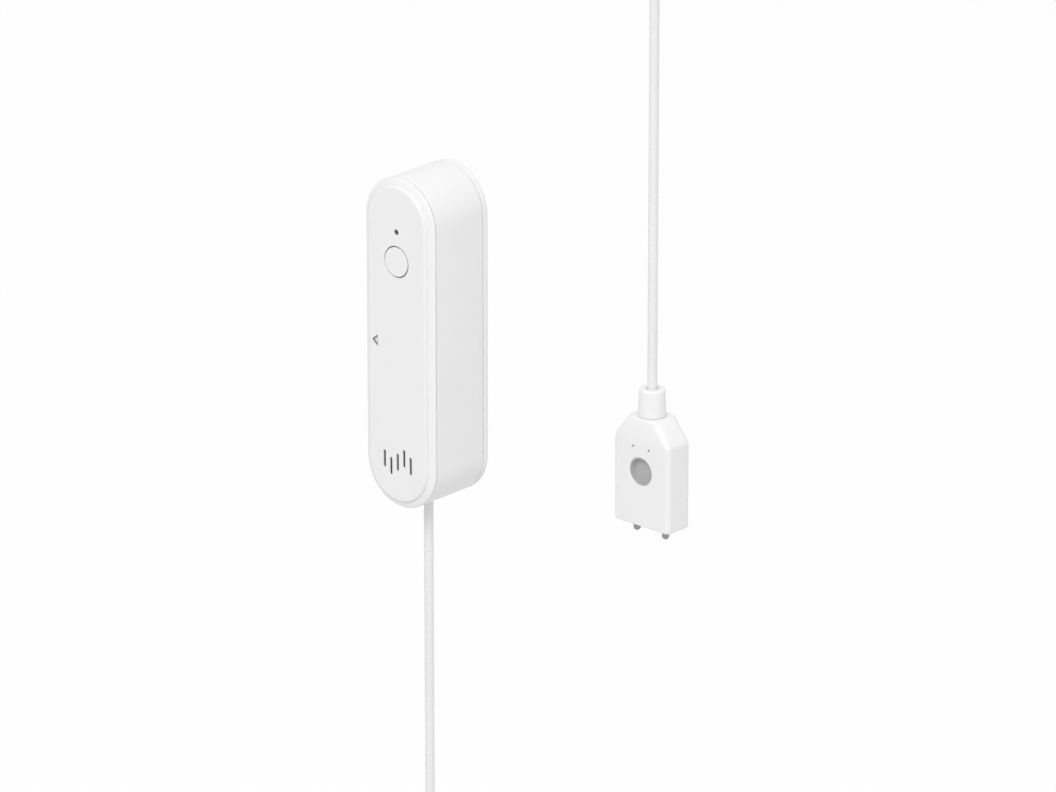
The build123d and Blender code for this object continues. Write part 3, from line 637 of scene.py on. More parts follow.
def dress_carried_nodes() -> None:
    """Gives every CAD node the finish of its slot."""
    for part in frame["record"]["subparts"]:
        node = frame["nodes"][part["node"]]
        node.data.materials.clear()
        node.data.materials.append(FINISHES[part["material_slot"]].material())
    log.info("finished %d carried nodes", len(frame["nodes"]))


def carve(piece: Piece, tool: Piece) -> None:
    """Takes a tool's shape out of a piece and deletes the tool.

    Args:
        piece: the piece that is cut.
        tool: the closed shape that cuts it.
    """
    cut = piece.modifiers.new("carve", "BOOLEAN")
    cut.object = tool
    cut.operation = "DIFFERENCE"
    cut.solver = "EXACT"
    settle(piece, tool)


@dataclass
class WallUnit:
    """The pill-shaped unit: wall plate, pad, housing, front cover and what shows in them.

    Depths are distances out from the wall, and insets are distances in from the outline.
    """

    height: float = 100.5
    width: float = 27.0
    depth: float = 24.3
    lead_depth: float = 11.3
    lead_bore: float = 2.4
    grommet_bore: float = 1.45
    grommet_flange: float = 3.3
    grommet_length: float = 3.0
    grommet_proud: float = 0.1
    seam_depth: float = 22.2
    seam_line: float = 0.3
    seam_round: float = 0.18
    # The seal's inset is small so that its dark rubber shows in the seam as painted shade.
    seal_shade_inset: float = 0.1
    shell: float = 1.6
    lap: float = 1.4
    plate: float = 2.1
    plate_line: float = 0.22
    plate_round: float = 0.8
    pad_depth: float = 0.6
    pad_inset: float = 3.2
    screw_z: float = 28.0
    screw_radius: float = 2.0
    screw_sink: float = 1.1
    hook_heights: tuple[float, float] = (35.9, -34.0)
    hook_slot: tuple[float, float] = (6.4, 2.6)
    hook_width: float = 6.0
    hook_tongue: float = 1.4
    hook_head: float = 2.2
    hook_lift: float = 0.4
    hook_play: float = 0.2
    hook_thick: float = 1.0
    plate_gap: float = 0.25
    rim: float = 2.3
    step: float = 1.08
    ridge_round: float = 0.62
    shelf_round: float = 0.8
    cover_wall: float = 1.8
    skirt_drop: float = 2.8
    skirt_wall: float = 1.2
    lip: float = 0.06
    button_z: float = 25.4
    button_proud: float = 0.15
    button_radius: float = 4.4
    button_hole: float = 4.75
    flange_radius: float = 5.35
    flange_depths: tuple[float, float] = (21.4, 22.2)
    boss_radius: float = 1.6
    boss_depth: float = 20.3
    # Depths of the black ring of painted shade in the gap round the button.
    shade_ring_depths: tuple[float, float] = (22.5, 24.02)
    light_z: float = 34.4
    light_hole: float = 0.85
    pipe_radius: float = 0.75
    pipe_flange: float = 2.0
    pipe_depths: tuple[float, float, float, float] = (18.85, 21.7, 22.5, 24.05)
    slots_z: float = -36.0
    slot_pitch: float = 2.57
    slot_stagger: float = 1.7
    slot_length: float = 5.4
    slot_width: float = 0.95
    gauze_depths: tuple[float, float, float] = (22.3, 22.48, 24.0)
    gauze_size: tuple[float, float] = (13.2, 10.8)
    arrow_core: tuple[Point2, ...] = ((-9.64, -0.4), (-7.75, -1.975), (-7.75, 1.175))
    arrow_radius: float = 0.15
    groove_width: float = 0.3
    groove_depth: float = 1.2
    arrow_sunk: float = 0.42
    # How far below the face the dark band of painted shade in the arrow's groove sits.
    arrow_shade_line_sunk: float = 0.17
    play: float = 0.02

    def outline(self) -> Rounded:
        """The unit's outline seen from the front."""
        return pill(self.height, self.width)

    def shell_rings(self, skin: Skin, corners: Corners, soft: int = 5) -> list[Ring]:
        """Joined rings of the unit's outline.

        Args:
            skin: the mesh to add them to.
            corners: (inset, depth) in order, with a third number where a corner is rounded.
            soft: divisions of each rounded corner.

        Returns:
            The rings.
        """
        profile = [(-inset, depth) for inset, depth in softened(corners, soft)]
        return skin.tube(self.outline(), profile)

    def housing(self) -> None:
        """The tub between plate and cover, with the hooks' slots and the grommet's hole."""
        skin = Skin("unit_housing")
        back, front = self.plate + self.plate_line, self.seam_depth - self.seam_line
        floor = back + self.shell
        rings = self.shell_rings(
            skin,
            (
                (self.shell + self.lap, back),
                (0.0, back, 0.3),
                (0.0, front, self.seam_round),
                (self.shell, front, 0.15),
                (self.shell, floor, 0.5),
                (self.shell + self.lap, floor),
            ),
        )
        slots = []
        for height in self.hook_heights:
            opening = soft_rectangle(*self.hook_slot, 0.2, (0.0, height), 2)
            slots.append(Hole(opening, [(0.0, back), (0.0, floor)]).cut(skin))
        skin.cap(rings, slots)
        made = skin.build()
        bore, reach = self.lead_bore, self.shell + 0.4
        end = (0.0, -self.lead_depth, -self.height / 2)
        carve(made, lathe("drill", ((bore, -reach), (bore, reach)), end, "Z"))
        dress(made, UNIT_BODY, "white_shell", "housing")

    def cover_holes(self) -> list[Hole]:
        """The button's and light's holes, the sound slots and the arrow's groove.

        Returns:
            The holes; the arrow's is blind.
        """
        face, inside = self.depth, self.depth - self.cover_wall
        through = softened([(0.2, face), (0.0, face, self.lip), (0.0, inside)], 3)
        holes = [
            Hole(Rounded(((0.0, self.button_z),), self.button_hole, 20), through),
            Hole(Rounded(((0.0, self.light_z),), self.light_hole, 8), through),
        ]
        for centre in self.slot_centres():
            holes.append(Hole(pill(self.slot_length, self.slot_width, centre, 8), through))
        deep, raised = face - self.groove_depth, face - self.arrow_sunk
        groove = softened(
            [
                (0.18, face),
                (0.0, face, self.lip),
                (0.0, deep, 0.03),
                (-self.groove_width, deep, 0.03),
                (-self.groove_width, raised, self.lip),
                (-1.5 * self.groove_width, raised),
            ],
            3,
        )
        holes.append(Hole(self.arrow(), groove, blind=True))
        return holes

    def arrow(self) -> Rounded:
        """The outline of the arrow mark at the left edge."""
        return Rounded(self.arrow_core, self.arrow_radius, 4)

    def arrow_line(self) -> None:
        """A dark band laid in the groove round the arrow mark: painted shade for the groove's
        shaded walls.
        """
        skin = Skin("arrow_line")
        low, high = self.depth - self.groove_depth + 0.05, self.depth - self.arrow_shade_line_sunk
        skin.tube(self.arrow(), boxed(-self.play, self.play - self.groove_width, low, high))
        dress(skin.build(), UNIT_BODY, "soft_rubber")

    def seal(self) -> None:
        """The soft seal in the seam between housing and cover, set close behind the seam's mouth
        so that its dark rubber also paints the shade of the seam's line.
        """
        skin = Skin("seam_seal")
        low, high = self.seam_depth - self.seam_line + 0.01, self.seam_depth - 0.01
        self.shell_rings(skin, boxed(self.seal_shade_inset, self.shell - 0.2, low, high))
        dress(skin.build(), UNIT_BODY, "soft_rubber", "cover_seal")

    def button_gasket(self) -> None:
        """A thin black ring in the gap round the button: painted shade for the gap's dark ring."""
        profile = boxed(self.button_radius + 0.03, self.button_hole - 0.01, *self.shade_ring_depths)
        made = lathe("button_gasket", profile, (0.0, 0.0, self.button_z), "-Y", 20)
        dress(made, UNIT_BODY, "black_plastic")

    def slot_centres(self) -> list[Point2]:
        """The middles of the five sound slots, whose heights step like a waveform.

        Returns:
            Each slot's middle, from the left.
        """
        lifts = (0, -1, 0, 1, 0)
        return [
            ((i - 2) * self.slot_pitch, self.slots_z + lift * self.slot_stagger)
            for i, lift in enumerate(lifts)
        ]

    def sound_mesh(self) -> None:
        """The black gauze behind the cover, with a raised pad that fills each sound slot."""
        skin = Skin("sound_gauze")
        back, front, top = self.gauze_depths
        sheet = soft_rectangle(*self.gauze_size, 1.0, (0.0, self.slots_z), 4)
        shapes = [(sheet, [(0.0, back), (0.0, front)])]
        for centre in self.slot_centres():
            pad = pill(self.slot_length - 0.1, self.slot_width - 0.08, centre, 6)
            shapes.append((pad, softened([(0.0, back + 0.1), (0.0, top, 0.12), (-0.25, top)], 2)))
        for outline, profile in shapes:
            skin.cap(skin.tube(outline, profile))
        dress(skin.build(), UNIT_BODY, "black_plastic", "sound_mesh")

    def light_window(self) -> None:
        """The smoked pipe that carries the status light to the front."""
        foot, low, high, face = self.pipe_depths
        stem, neck, core = self.pipe_radius, self.pipe_radius + 0.03, 0.4 * self.pipe_radius
        corners = (
            (core, foot),
            (stem, foot, 0.1),
            (stem, low),
            (self.pipe_flange, low, 0.1),
            (self.pipe_flange, high, 0.1),
            (neck, high),
            (neck, face, 0.12),
            (core, face),
        )
        made = lathe("light_window", corners, (0.0, 0.0, self.light_z), "-Y", 7, 3)
        dress(made, UNIT_BODY, "smoked_pipe", "light_pipe")

    def cover(self) -> None:
        """The front cover: a flat face, a rim that slopes to the seam, and a skirt."""
        skin = Skin("unit_cover")
        inside, shelf = self.depth - self.cover_wall, self.depth - self.step
        skirt, foot = self.shell + 0.15, self.seam_depth - self.skirt_drop
        rings = self.shell_rings(
            skin,
            (
                (self.rim + 0.75, self.depth),
                (self.rim - 0.05, self.depth, self.ridge_round),
                (self.rim - 0.12, shelf, 0.1),
                (self.rim - 0.4, shelf + self.lip, 0.2),
                (0.0, self.seam_depth + 0.5, self.shelf_round),
                (0.0, self.seam_depth, self.lip),
                (skirt, self.seam_depth),
                (skirt, foot, 0.1),
                (skirt + self.skirt_wall, foot, 0.1),
                (skirt + self.skirt_wall, inside),
                (skirt + self.skirt_wall + 0.4, inside),
            ),
        )
        skin.cap(rings, [hole.cut(skin) for hole in self.cover_holes()])
        dress(skin.build(), UNIT_BODY, "white_cover", "front_cover")

    def screw_holes(
        self, skin: Skin, radius: float, profile: list[Point2]
    ) -> list[tuple[Ring, Ring | None]]:
        """Cuts the two holes for the wall screws.

        Args:
            skin: the mesh that has them.
            radius: their radius at the start of the profile.
            profile: (growth, depth) along their walls.

        Returns:
            The rings at the two ends of each hole.
        """
        places = [(0.0, side * self.screw_z) for side in (-1, 1)]
        return [Hole(Rounded((place,), radius, 10), profile).cut(skin) for place in places]

    def wall_plate(self) -> None:
        """The plate behind the housing, pocketed for its pad, with screw holes and hooks."""
        skin = Skin("unit_wall_plate")
        pocket, edge = self.pad_depth, self.pad_inset
        rings = self.shell_rings(
            skin,
            (
                (edge + 0.4, pocket),
                (edge, pocket, 0.05),
                (edge, 0.0, 0.1),
                (0.0, 0.0, self.plate_round),
                (0.0, self.plate, 0.3),
                (2.0, self.plate),
            ),
        )
        sink = [(0.0, pocket), (0.0, pocket + 0.4), (self.screw_sink, self.plate)]
        skin.cap(rings, self.screw_holes(skin, self.screw_radius, sink))
        barb = self.plate + self.plate_gap + self.shell + self.hook_play
        tip = barb + self.hook_thick
        for height in self.hook_heights:
            low, high = (0.0, height + self.hook_lift), (0.0, height + 2 * self.hook_lift)
            tongue = soft_rectangle(self.hook_width, self.hook_tongue, 0.1, low, 2)
            hook = soft_rectangle(self.hook_width, self.hook_head, 0.1, high, 2)
            steps = ((tongue, self.plate), (tongue, barb), (hook, barb), (hook, tip))
            levels = [skin.ring(at_depth(outline, 0.0, depth)) for outline, depth in steps]
            skin.bands(levels)
            skin.cap(levels)
        dress(skin.build(), UNIT_BODY, "white_shell", "back_plate")

    def pad(self) -> None:
        """The adhesive foam pad in the plate's pocket."""
        skin = Skin("unit_pad")
        edge, thick = self.pad_inset + 0.1, self.pad_depth
        corners = ((edge + 0.7, 0.0), (edge, 0.0, 0.12), (edge, thick, 0.1), (edge + 0.7, thick))
        rings = self.shell_rings(skin, corners, 3)
        wide = self.screw_radius + 1.2
        skin.cap(rings, self.screw_holes(skin, wide, [(0.0, 0.0), (0.0, thick)]))
        dress(skin.build(), UNIT_BODY, "pad_foam", "adhesive_pad")

    def button(self) -> None:
        """The round push button, just proud of the cover."""
        front = self.depth + self.button_proud
        back, top = self.flange_depths
        corners = (
            (self.button_radius - 0.4, front),
            (self.button_radius, front, 0.14),
            (self.button_radius, top),
            (self.flange_radius, top, 0.1),
            (self.flange_radius, back, 0.1),
            (self.boss_radius, back),
            (self.boss_radius, self.boss_depth, 0.15),
            (self.boss_radius - 0.3, self.boss_depth),
        )
        made = lathe("push_button", corners, (0.0, 0.0, self.button_z), "-Y", 20)
        dress(made, BUTTON_BODY, "white_button", "button_cap")

    def grommet(self) -> None:
        """The soft bush where the lead leaves the unit."""
        face = -self.height / 2 - self.grommet_proud
        bore, neck, flange = self.grommet_bore, self.lead_bore - 0.05, self.grommet_flange
        end = face + self.grommet_length
        shoulder = end - 0.8
        corners = (
            (bore, face + 1.0),
            (bore, face, 0.15),
            (neck, face, 0.2),
            (neck, shoulder),
            (flange, shoulder, 0.1),
            (flange, end, 0.1),
            (bore, end),
            (bore, face + 1.0),
        )
        made = lathe("lead_grommet", corners, (0.0, -self.lead_depth, 0.0), "Z", 10, 3)
        dress(made, UNIT_BODY, "soft_rubber", "cable_grommet")

    def build(self) -> None:
        """Builds the unit's pieces."""
        self.wall_plate()
        self.pad()
        self.housing()
        self.cover()
        self.seal()
        self.arrow_line()
        self.button_gasket()
        self.sound_mesh()
        self.light_window()
        self.button()
        self.grommet()


@dataclass
class Probe:
    """The flat wired probe: body, lid, collar, two contact pins, and a grey cup and two black
    plugs that paint the shade in its recess and its tiny holes.
    """

    x: float = 80.84
    ledge_z: float = -6.0
    width: float = 21.0
    thickness: float = 9.6
    height: float = 32.5
    corner: float = 1.65
    corner_steps: int = 10
    ledge_width: float = 11.6
    ledge_corner: float = 2.9
    shoulder: float = 6.8
    shoulder_round: float = 1.6
    edge: float = 0.45
    recess_drop: float = 15.85
    recess_radius: float = 4.15
    recess_depth: float = 2.4
    dot_drop: float = 8.75
    dot_spacing: float = 5.9
    pin_spacing: float = 10.8
    pin_reach: float = 3.8
    pin_radius: float = 1.1
    pin_flange: float = 1.7
    pin_steps: tuple[float, ...] = (-1.4, 2.2, 3.0, 5.4)
    dot_radius: float = 0.35
    # Depths of the black plugs of painted shade in the two tiny holes.
    dot_shade_depths: tuple[float, float] = (0.88, 0.22)
    lid_depth: float = 1.2
    lid_line: float = 0.1
    collar_height: float = 8.2
    collar_radii: tuple[float, float] = (4.05, 3.75)
    collar_bore: float = 1.45
    collar_foot: float = 3.72
    # Sizes of the grey cup of painted shade in the round recess.
    shade_cup_radii: tuple[float, float] = (3.48, 3.83)
    shade_cup_floor: float = 0.3
    shade_cup_drop: float = 0.15

    def section(self, z: float, half_width: float) -> Rounded:
        """The body's level section, centred on its own axis.

        Args:
            z: height.
            half_width: half the width there.

        Returns:
            The outline in x and y.
        """
        share = min(1.0, max(0.0, (z - self.ledge_z + self.shoulder) / self.shoulder))
        corner = self.corner + (self.ledge_corner - self.corner) * share
        size = (2 * half_width, self.thickness)
        return soft_rectangle(*size, corner, (0.0, 0.0), self.corner_steps)

    def level(self, skin: Skin, z: float, half_width: float, inset: float) -> Ring:
        """One ring of the body.

        Args:
            skin: the mesh.
            z: height.
            half_width: half the width before the inset.
            inset: how far the ring is drawn in.

        Returns:
            The ring's vertices.
        """
        ring = self.section(z, half_width).ring(-inset)
        return skin.ring((self.x + x, y - self.thickness / 2, z) for x, y in ring)

    def body(self) -> None:
        """The body: upright sides, sloping shoulders and a small ledge under the collar."""
        skin = Skin("probe_case")
        levels, first, last = self.levels(skin)
        front = self.corner_steps
        back = 3 * front + 2
        for i, (a, b) in enumerate(zip(levels, levels[1:])):
            skin.bridge(a, b, (front, back) if first <= i < last else ())
        skin.cap(levels)
        column = levels[first : last + 1]
        self.front_face(skin, column, front)
        self.back_face(skin, column, back)
        dress(skin.build(32.0), UNIT_BODY, "white_probe", "probe_body")

    def levels(self, skin: Skin) -> tuple[list[Ring], int, int]:
        """The body's rings from its rounded foot to the ledge's rounded edge.

        Args:
            skin: the mesh.

        Returns:
            The rings, and the numbers of the first and last that bound the flat faces.
        """
        base = self.ledge_z - self.height
        wide, narrow = self.width / 2, self.ledge_width / 2
        turn = [math.radians(90 * i / 5) for i in range(6)]
        low = [
            (base + self.edge * (1 - math.cos(a)), wide, self.edge * (1 - math.sin(a)))
            for a in turn
        ]
        side = softened(
            [
                (wide, base + self.edge + 0.2),
                (wide, self.ledge_z - self.shoulder, self.shoulder_round),
                (narrow + self.edge * 0.6, self.ledge_z - self.edge * 0.77),
            ],
            8,
        )
        lean = math.atan((wide - narrow) / self.shoulder)
        high = []
        for i in range(6):
            a = lean + (math.pi / 2 - lean) * i / 5
            rise = self.edge * (math.sin(a) - 1)
            high.append((self.ledge_z + rise, narrow, self.edge * (1 - math.cos(a))))
        middle = [(z, half, 0.0) for half, z in side if z < high[0][0] - 0.05]
        rings = [self.level(skin, *row) for row in low + middle + high]
        return rings, len(low) - 1, len(low) + len(middle) - 1

    def boundary(self, column: list[Ring], place: int) -> Ring:
        """The loop round a flat face: down one side of the column and up the other.

        Args:
            column: the rings that bound the face.
            place: number of the ring point at its edge.

        Returns:
            The loop's vertices.
        """
        return [ring[place] for ring in column] + [ring[place + 1] for ring in reversed(column)]

    def front_face(self, skin: Skin, column: list[Ring], place: int) -> None:
        """The flat front with its round recess and two tiny holes.

        Args:
            skin: the mesh.
            column: the rings that bound it.
            place: number of the ring point at its edge.
        """
        face, floor = self.thickness, self.thickness - self.recess_depth
        bowl = softened([(0.5, face), (0.0, face, 0.2), (0.0, floor, 0.1), (-0.5, floor)], 4)
        pit = softened([(0.12, face), (0.0, face, 0.05), (0.0, face - 0.9)], 3)
        middle = (self.x, self.ledge_z - self.recess_drop)
        holes = [Hole(Rounded((middle,), self.recess_radius, 16), bowl, blind=True)]
        for side in (-1, 1):
            dot = (self.x + side * self.dot_spacing / 2, self.ledge_z - self.dot_drop)
            holes.append(Hole(Rounded((dot,), self.dot_radius, 6), pit, blind=True))
        near = [hole.cut(skin)[0] for hole in holes]
        skin.flat([self.boundary(column, place)] + near)

    def back_face(self, skin: Skin, column: list[Ring], place: int) -> None:
        """The flat back with the pocket of its lid.

        Args:
            skin: the mesh.
            column: the rings that bound it.
            place: number of the ring point at its edge.
        """
        deep = self.lid_depth
        wall = softened([(0.3, 0.0), (0.0, 0.0, 0.1), (0.0, deep), (-0.4, deep)], 3)
        near = Hole(self.lid_outline(), wall, blind=True).cut(skin)[0]
        skin.flat([self.boundary(column, place), near])

    def lid_outline(self) -> Rounded:
        """The lid's opening in the back.

        Returns:
            The outline.
        """
        margin = 1.4
        top = self.ledge_z - self.shoulder
        bottom = self.ledge_z - self.height + margin
        centre = (self.x, (top + bottom) / 2)
        return soft_rectangle(self.width - 2 * margin, top - bottom, 0.95, centre, 6)

    def lid(self) -> None:
        """The lid in the probe's back."""
        skin = Skin("probe_lid")
        line, deep = self.lid_line, self.lid_depth
        profile = softened([(-0.5, 0.0), (-line, 0.0, 0.12), (-line, deep), (-0.5, deep)], 3)
        skin.cap(skin.tube(self.lid_outline(), profile))
        dress(skin.build(), UNIT_BODY, "white_shell", "probe_back")

    def collar(self) -> None:
        """The tapered sleeve that the lead goes into."""
        bore, top, foot = self.collar_bore, self.collar_height, self.collar_foot
        low, high = self.collar_radii
        corners = (
            (bore, 3.0),
            (bore, top - 0.8, 0.1),
            (bore + 0.5, top, 0.12),
            (high, top, 0.75),
            (low, 0.28, 0.1),
            (foot, 0.2, 0.03),
            (foot, 0.0),
            (bore, 0.0),
            (bore, 3.0),
        )
        centre = (self.x, -self.thickness / 2, self.ledge_z)
        made = lathe("probe_collar_sleeve", corners, centre, "Z", 14, 6)
        dress(made, UNIT_BODY, "white_probe", "probe_collar")

    def cup(self) -> None:
        """A grey cup in the round recess: its grey is painted shade for the recess's hollow."""
        back = self.thickness - self.recess_depth
        under, floor, brim = back + 0.02, back + self.shade_cup_floor, self.thickness - self.shade_cup_drop
        inner, mouth = self.shade_cup_radii
        outer = self.recess_radius - 0.03
        corners = (
            (0.4, under),
            (outer, under),
            (outer, brim),
            (mouth, brim, 0.05),
            (inner, floor, 0.4),
            (0.4, floor),
        )
        centre = (self.x, 0.0, self.ledge_z - self.recess_drop)
        made = lathe("recess_lining", corners, centre, "-Y", 14, 4)
        dress(made, UNIT_BODY, "grey_cup", "recess_cup")

    def dot(self, side: int, name: str) -> None:
        """A black plug in one of the two tiny holes, close under the face: painted shade for the
        hole's darkness.

        Args:
            side: -1 for the left one, 1 for the right one.
            name: the piece's name.
        """
        low, high = (self.thickness - depth for depth in self.dot_shade_depths)
        radius = self.dot_radius - 0.02
        corners = ((0.1, low), (radius, low), (radius, high, 0.05), (0.1, high))
        centre = (self.x + side * self.dot_spacing / 2, 0.0, self.ledge_z - self.dot_drop)
        dress(lathe(name, corners, centre, "-Y", 5), UNIT_BODY, "black_plastic")

    def pin(self, side: int, name: str, node: str) -> None:
        """One domed contact pin.

        Args:
            side: -1 for the left one, 1 for the right one.
            name: the piece's name.
            node: the CAD node that it stands for.
        """
        base, radius, flange = self.ledge_z - self.height, self.pin_radius, self.pin_flange
        tip = base - self.pin_reach
        corners = [(0.12, tip + 0.01)]
        for degrees in range(15, 91, 15):
            a = math.radians(degrees)
            corners.append((radius * math.sin(a), tip + radius * (1 - math.cos(a))))
        dome, low, high, top = (base + step for step in self.pin_steps)
        corners += [(radius, dome), (radius, low), (flange, low), (flange, high)]
        corners += [(radius, high), (radius, top)]
        centre = (self.x + side * self.pin_spacing / 2, -self.thickness / 2, 0.0)
        dress(lathe(name, corners, centre, "Z", 8), UNIT_BODY, "pin_steel", node)

    def build(self) -> None:
        """Builds the probe's pieces."""
        self.body()
        self.lid()
        self.collar()
        self.cup()
        self.dot(-1, "dot_left")
        self.dot(1, "dot_right")
        self.pin(-1, "pin_left", "contact_pin_left")
        self.pin(1, "pin_right", "contact_pin_right")


def scatter_group() -> Tree:
    """A Geometry Nodes tree that sets one piece at every point, turned as the point says.

    Returns:
        The node group, with inputs for the piece and its finish.
    """
    group = bpy.data.node_groups.new("set_pieces_on_points", "GeometryNodeTree")
    face = group.interface
    face.new_socket("Geometry", in_out="INPUT", socket_type="NodeSocketGeometry")
    face.new_socket("Piece", in_out="INPUT", socket_type="NodeSocketObject")
    face.new_socket("Finish", in_out="INPUT", socket_type="NodeSocketMaterial")
    face.new_socket("Geometry", in_out="OUTPUT", socket_type="NodeSocketGeometry")
    entry = group.nodes.new("NodeGroupInput").outputs
    info = NodeTools.add(group, "GeometryNodeObjectInfo", Object=entry["Piece"])
    turn = NodeTools.add(
        group, "GeometryNodeInputNamedAttribute", data_type="FLOAT_VECTOR", Name="turn"
    )
    rotation = NodeTools.add(group, "FunctionNodeEulerToRotation", Euler=turn.outputs["Attribute"])
    place = NodeTools.add(
        group,
        "GeometryNodeInstanceOnPoints",
        Points=entry["Geometry"],
        Instance=info.outputs["Geometry"],
        Rotation=rotation.outputs["Rotation"],
    )
    copies = place.outputs["Instances"]
    real = NodeTools.add(group, "GeometryNodeRealizeInstances", Geometry=copies)
    paint = NodeTools.add(
        group,
        "GeometryNodeSetMaterial",
        Geometry=real.outputs["Geometry"],
        Material=entry["Finish"],
    )
    NodeTools.add(group, "NodeGroupOutput", Geometry=paint.outputs["Geometry"])
    return group


def set_on_points(name: str, piece: Piece, spots: Sequence[Matrix], slot: str) -> Piece:
    """Repeats a piece at each spot with Geometry Nodes and makes the result a plain mesh.

    Args:
        name: the new piece's name.
        piece: what is repeated; it is deleted afterwards.
        spots: a placement for each copy, in metres.
        slot: the finish's slot.

    Returns:
        The new piece.
    """
    data = bpy.data.meshes.new(name)
    data.from_pydata([spot.translation for spot in spots], [], [])
    turns = data.attributes.new("turn", "FLOAT_VECTOR", "POINT")
    for item, spot in zip(turns.data, spots):
        item.vector = spot.to_euler("XYZ")[:]
    made = new_object(name, data)
    group = scatter_group()
    setter = made.modifiers.new("set_pieces", "NODES")
    setter.node_group = group
    values = {"Piece": piece, "Finish": FINISHES[slot].material()}
    for socket in group.interface.items_tree:
        if socket.in_out == "INPUT" and socket.name in values:
            setter[socket.identifier] = values[socket.name]
    bpy.context.view_layer.update()
    settle(made, piece)
    return made


@dataclass
class Lead:
    """The lead from unit to probe, with its coil of spare length, ties and wall clips."""

    diameter: float = 2.8
    depth: float = 11.3
    top_z: float = -50.25
    pitch: float = 2.85
    layers: int = 4
    mean_radius: float = 15.125
    coil_z: float = -174.0
    stub: float = 22.0
    turn_points: int = 16
    length: float = 2.43
    corners: tuple[Point3, ...] = (
        (0.084, -0.00275, -0.1934),
        (0.128, -0.0041, -0.1885),
        (0.17, -0.0048, -0.177),
        (0.206, -0.0048, -0.156),
        (0.232, -0.0048, -0.126),
        (0.2435, -0.0048, -0.09),
        (0.246, -0.0048, -0.042),
        (0.2468, -0.0048, 0.008),
        (0.2468, -0.0048, 0.06),
        (0.2462, -0.0048, 0.112),
        (0.245, -0.0048, 0.158),
        (0.239, -0.0048, 0.181),
        (0.217, -0.0048, 0.1895),
        (0.181, -0.0048, 0.189),
        (0.143, -0.0048, 0.183),
        (0.112, -0.0048, 0.173),
        (0.0905, -0.0048, 0.159),
        (0.08084, -0.0048, 0.136),
    )
    clipped: tuple[tuple[int, str], ...] = (
        (2, "clip_low"),
        (4, "clip_corner"),
        (7, "clip_side"),
        (10, "clip_high"),
        (13, "clip_top"),
        (16, "clip_probe"),
    )
    straight_from: Point3 = (0.08084, -0.0048, 0.1111)
    probe_end: Point3 = (0.08084, -0.0048, 0.0022)
    tie_turns: tuple[float, float] = (45.0, 225.0)
    tie_slack: float = 0.7
    tie_corner: float = 2.75
    clip_jaw: tuple[float, float] = (1.52, 2.62)
    clip_mouth: float = 1.05
    clip_neck: float = 1.2
    clip_foot: float = 3.5
    clip_reach: float = 4.8
    clip_length: float = 6.0
    clip_edge: float = 0.18
    sweep_start: float = 180.0
    sweep_end: float = 270.0 + 15 * 360.0
    zone: float = 45.0
    first_zone: float = 135.0

    @property
    def outer(self) -> float:
        """Radius of the outermost turn."""
        return self.mean_radius + (self.layers - 1) / 2 * self.pitch

    def winding(self, angle: float) -> tuple[float, float]:
        """Where the winding is at an angle: full turns side by side, then the next layer back.

        Args:
            angle: degrees turned, counted from the right-hand side.

        Returns:
            The turn's radius and its depth out from the wall.
        """
        place, layer = 0.0, 0.0
        for n in range(1, self.layers**2):
            done, row = divmod(n, self.layers)
            start = 360.0 * n + self.first_zone - 2 * self.zone * done
            if row:
                moved = self._eased(angle, start)
                place += moved if done % 2 == 0 else -moved
            else:
                layer += self._eased(angle, start + self.zone)
        return self.outer - place * self.pitch, self.depth - layer * self.pitch

    def _eased(self, angle: float, start: float) -> float:
        """How far a smooth step of one zone has got.

        Args:
            angle: degrees turned.
            start: degrees at which the step starts.

        Returns:
            A share from nought to one.
        """
        share = min(1.0, max(0.0, (angle - start) / self.zone))
        return share * share * (3 - 2 * share)

    def coil_points(self) -> list[Point3]:
        """The coil's control points, one at each corner of the polygon round every turn.

        Returns:
            The points in order, in millimetres.
        """
        step = 360.0 / self.turn_points
        count = round((self.sweep_end - self.sweep_start) / step)
        out = []
        for i in range(count):
            angle = self.sweep_start + step * (i + 0.5)
            radius, depth = self.winding(angle)
            reach = radius / math.cos(math.pi / self.turn_points)
            turned = math.radians(angle)
            x, z = reach * math.cos(turned), reach * math.sin(turned)
            out.append((self.outer + x, -depth, self.coil_z + z))
        return out

    def points(self) -> list[Vector]:
        """All the lead's control points: down, round the coil and along the wall.

        Returns:
            The points in order, in metres.
        """
        lead_in = self.outer * math.tan(math.pi / self.turn_points)
        down = [(0.0, -self.depth, z) for z in (self.top_z, self.coil_z + lead_in)]
        behind = self.corners[0][1] / MM
        leave = [(self.outer + x, behind, self.coil_z - self.outer) for x in (lead_in, self.stub)]
        wound = [Vector(point) * MM for point in [*down, *self.coil_points(), *leave]]
        return wound + [Vector(p) for p in (*self.corners, self.straight_from, self.probe_end)]

    def cord(self) -> Piece:
        """The lead itself: one smooth spline with a round section.

        Returns:
            The piece.
        """
        curve = bpy.data.curves.new("probe_lead", "CURVE")
        curve.dimensions = "3D"
        curve.resolution_u = 6
        curve.bevel_mode = "ROUND"
        curve.bevel_depth = self.diameter / 2 * MM
        curve.bevel_resolution = 5
        spline = curve.splines.new("NURBS")
        points = self.points()
        spline.points.add(len(points) - 1)
        for control, point in zip(spline.points, points):
            control.co = (*point, 1.0)
        spline.order_u = 3
        spline.use_endpoint_u = True
        made = new_object("probe_lead", curve)
        return dress(made, UNIT_BODY, "lead_jacket", "lead_upper", "lead_coil", "lead_run")

    @staticmethod
    def _arc(radius: float, start: float, end: float, steps: int) -> list[Point2]:
        """The points of an arc about nought.

        Args:
            radius: its radius.
            start: its first angle.
            end: its last angle.
            steps: how many parts it has.

        Returns:
            The points in order.
        """
        turns = [start + (end - start) * i / steps for i in range(steps + 1)]
        return [(radius * math.cos(turn), radius * math.sin(turn)) for turn in turns]

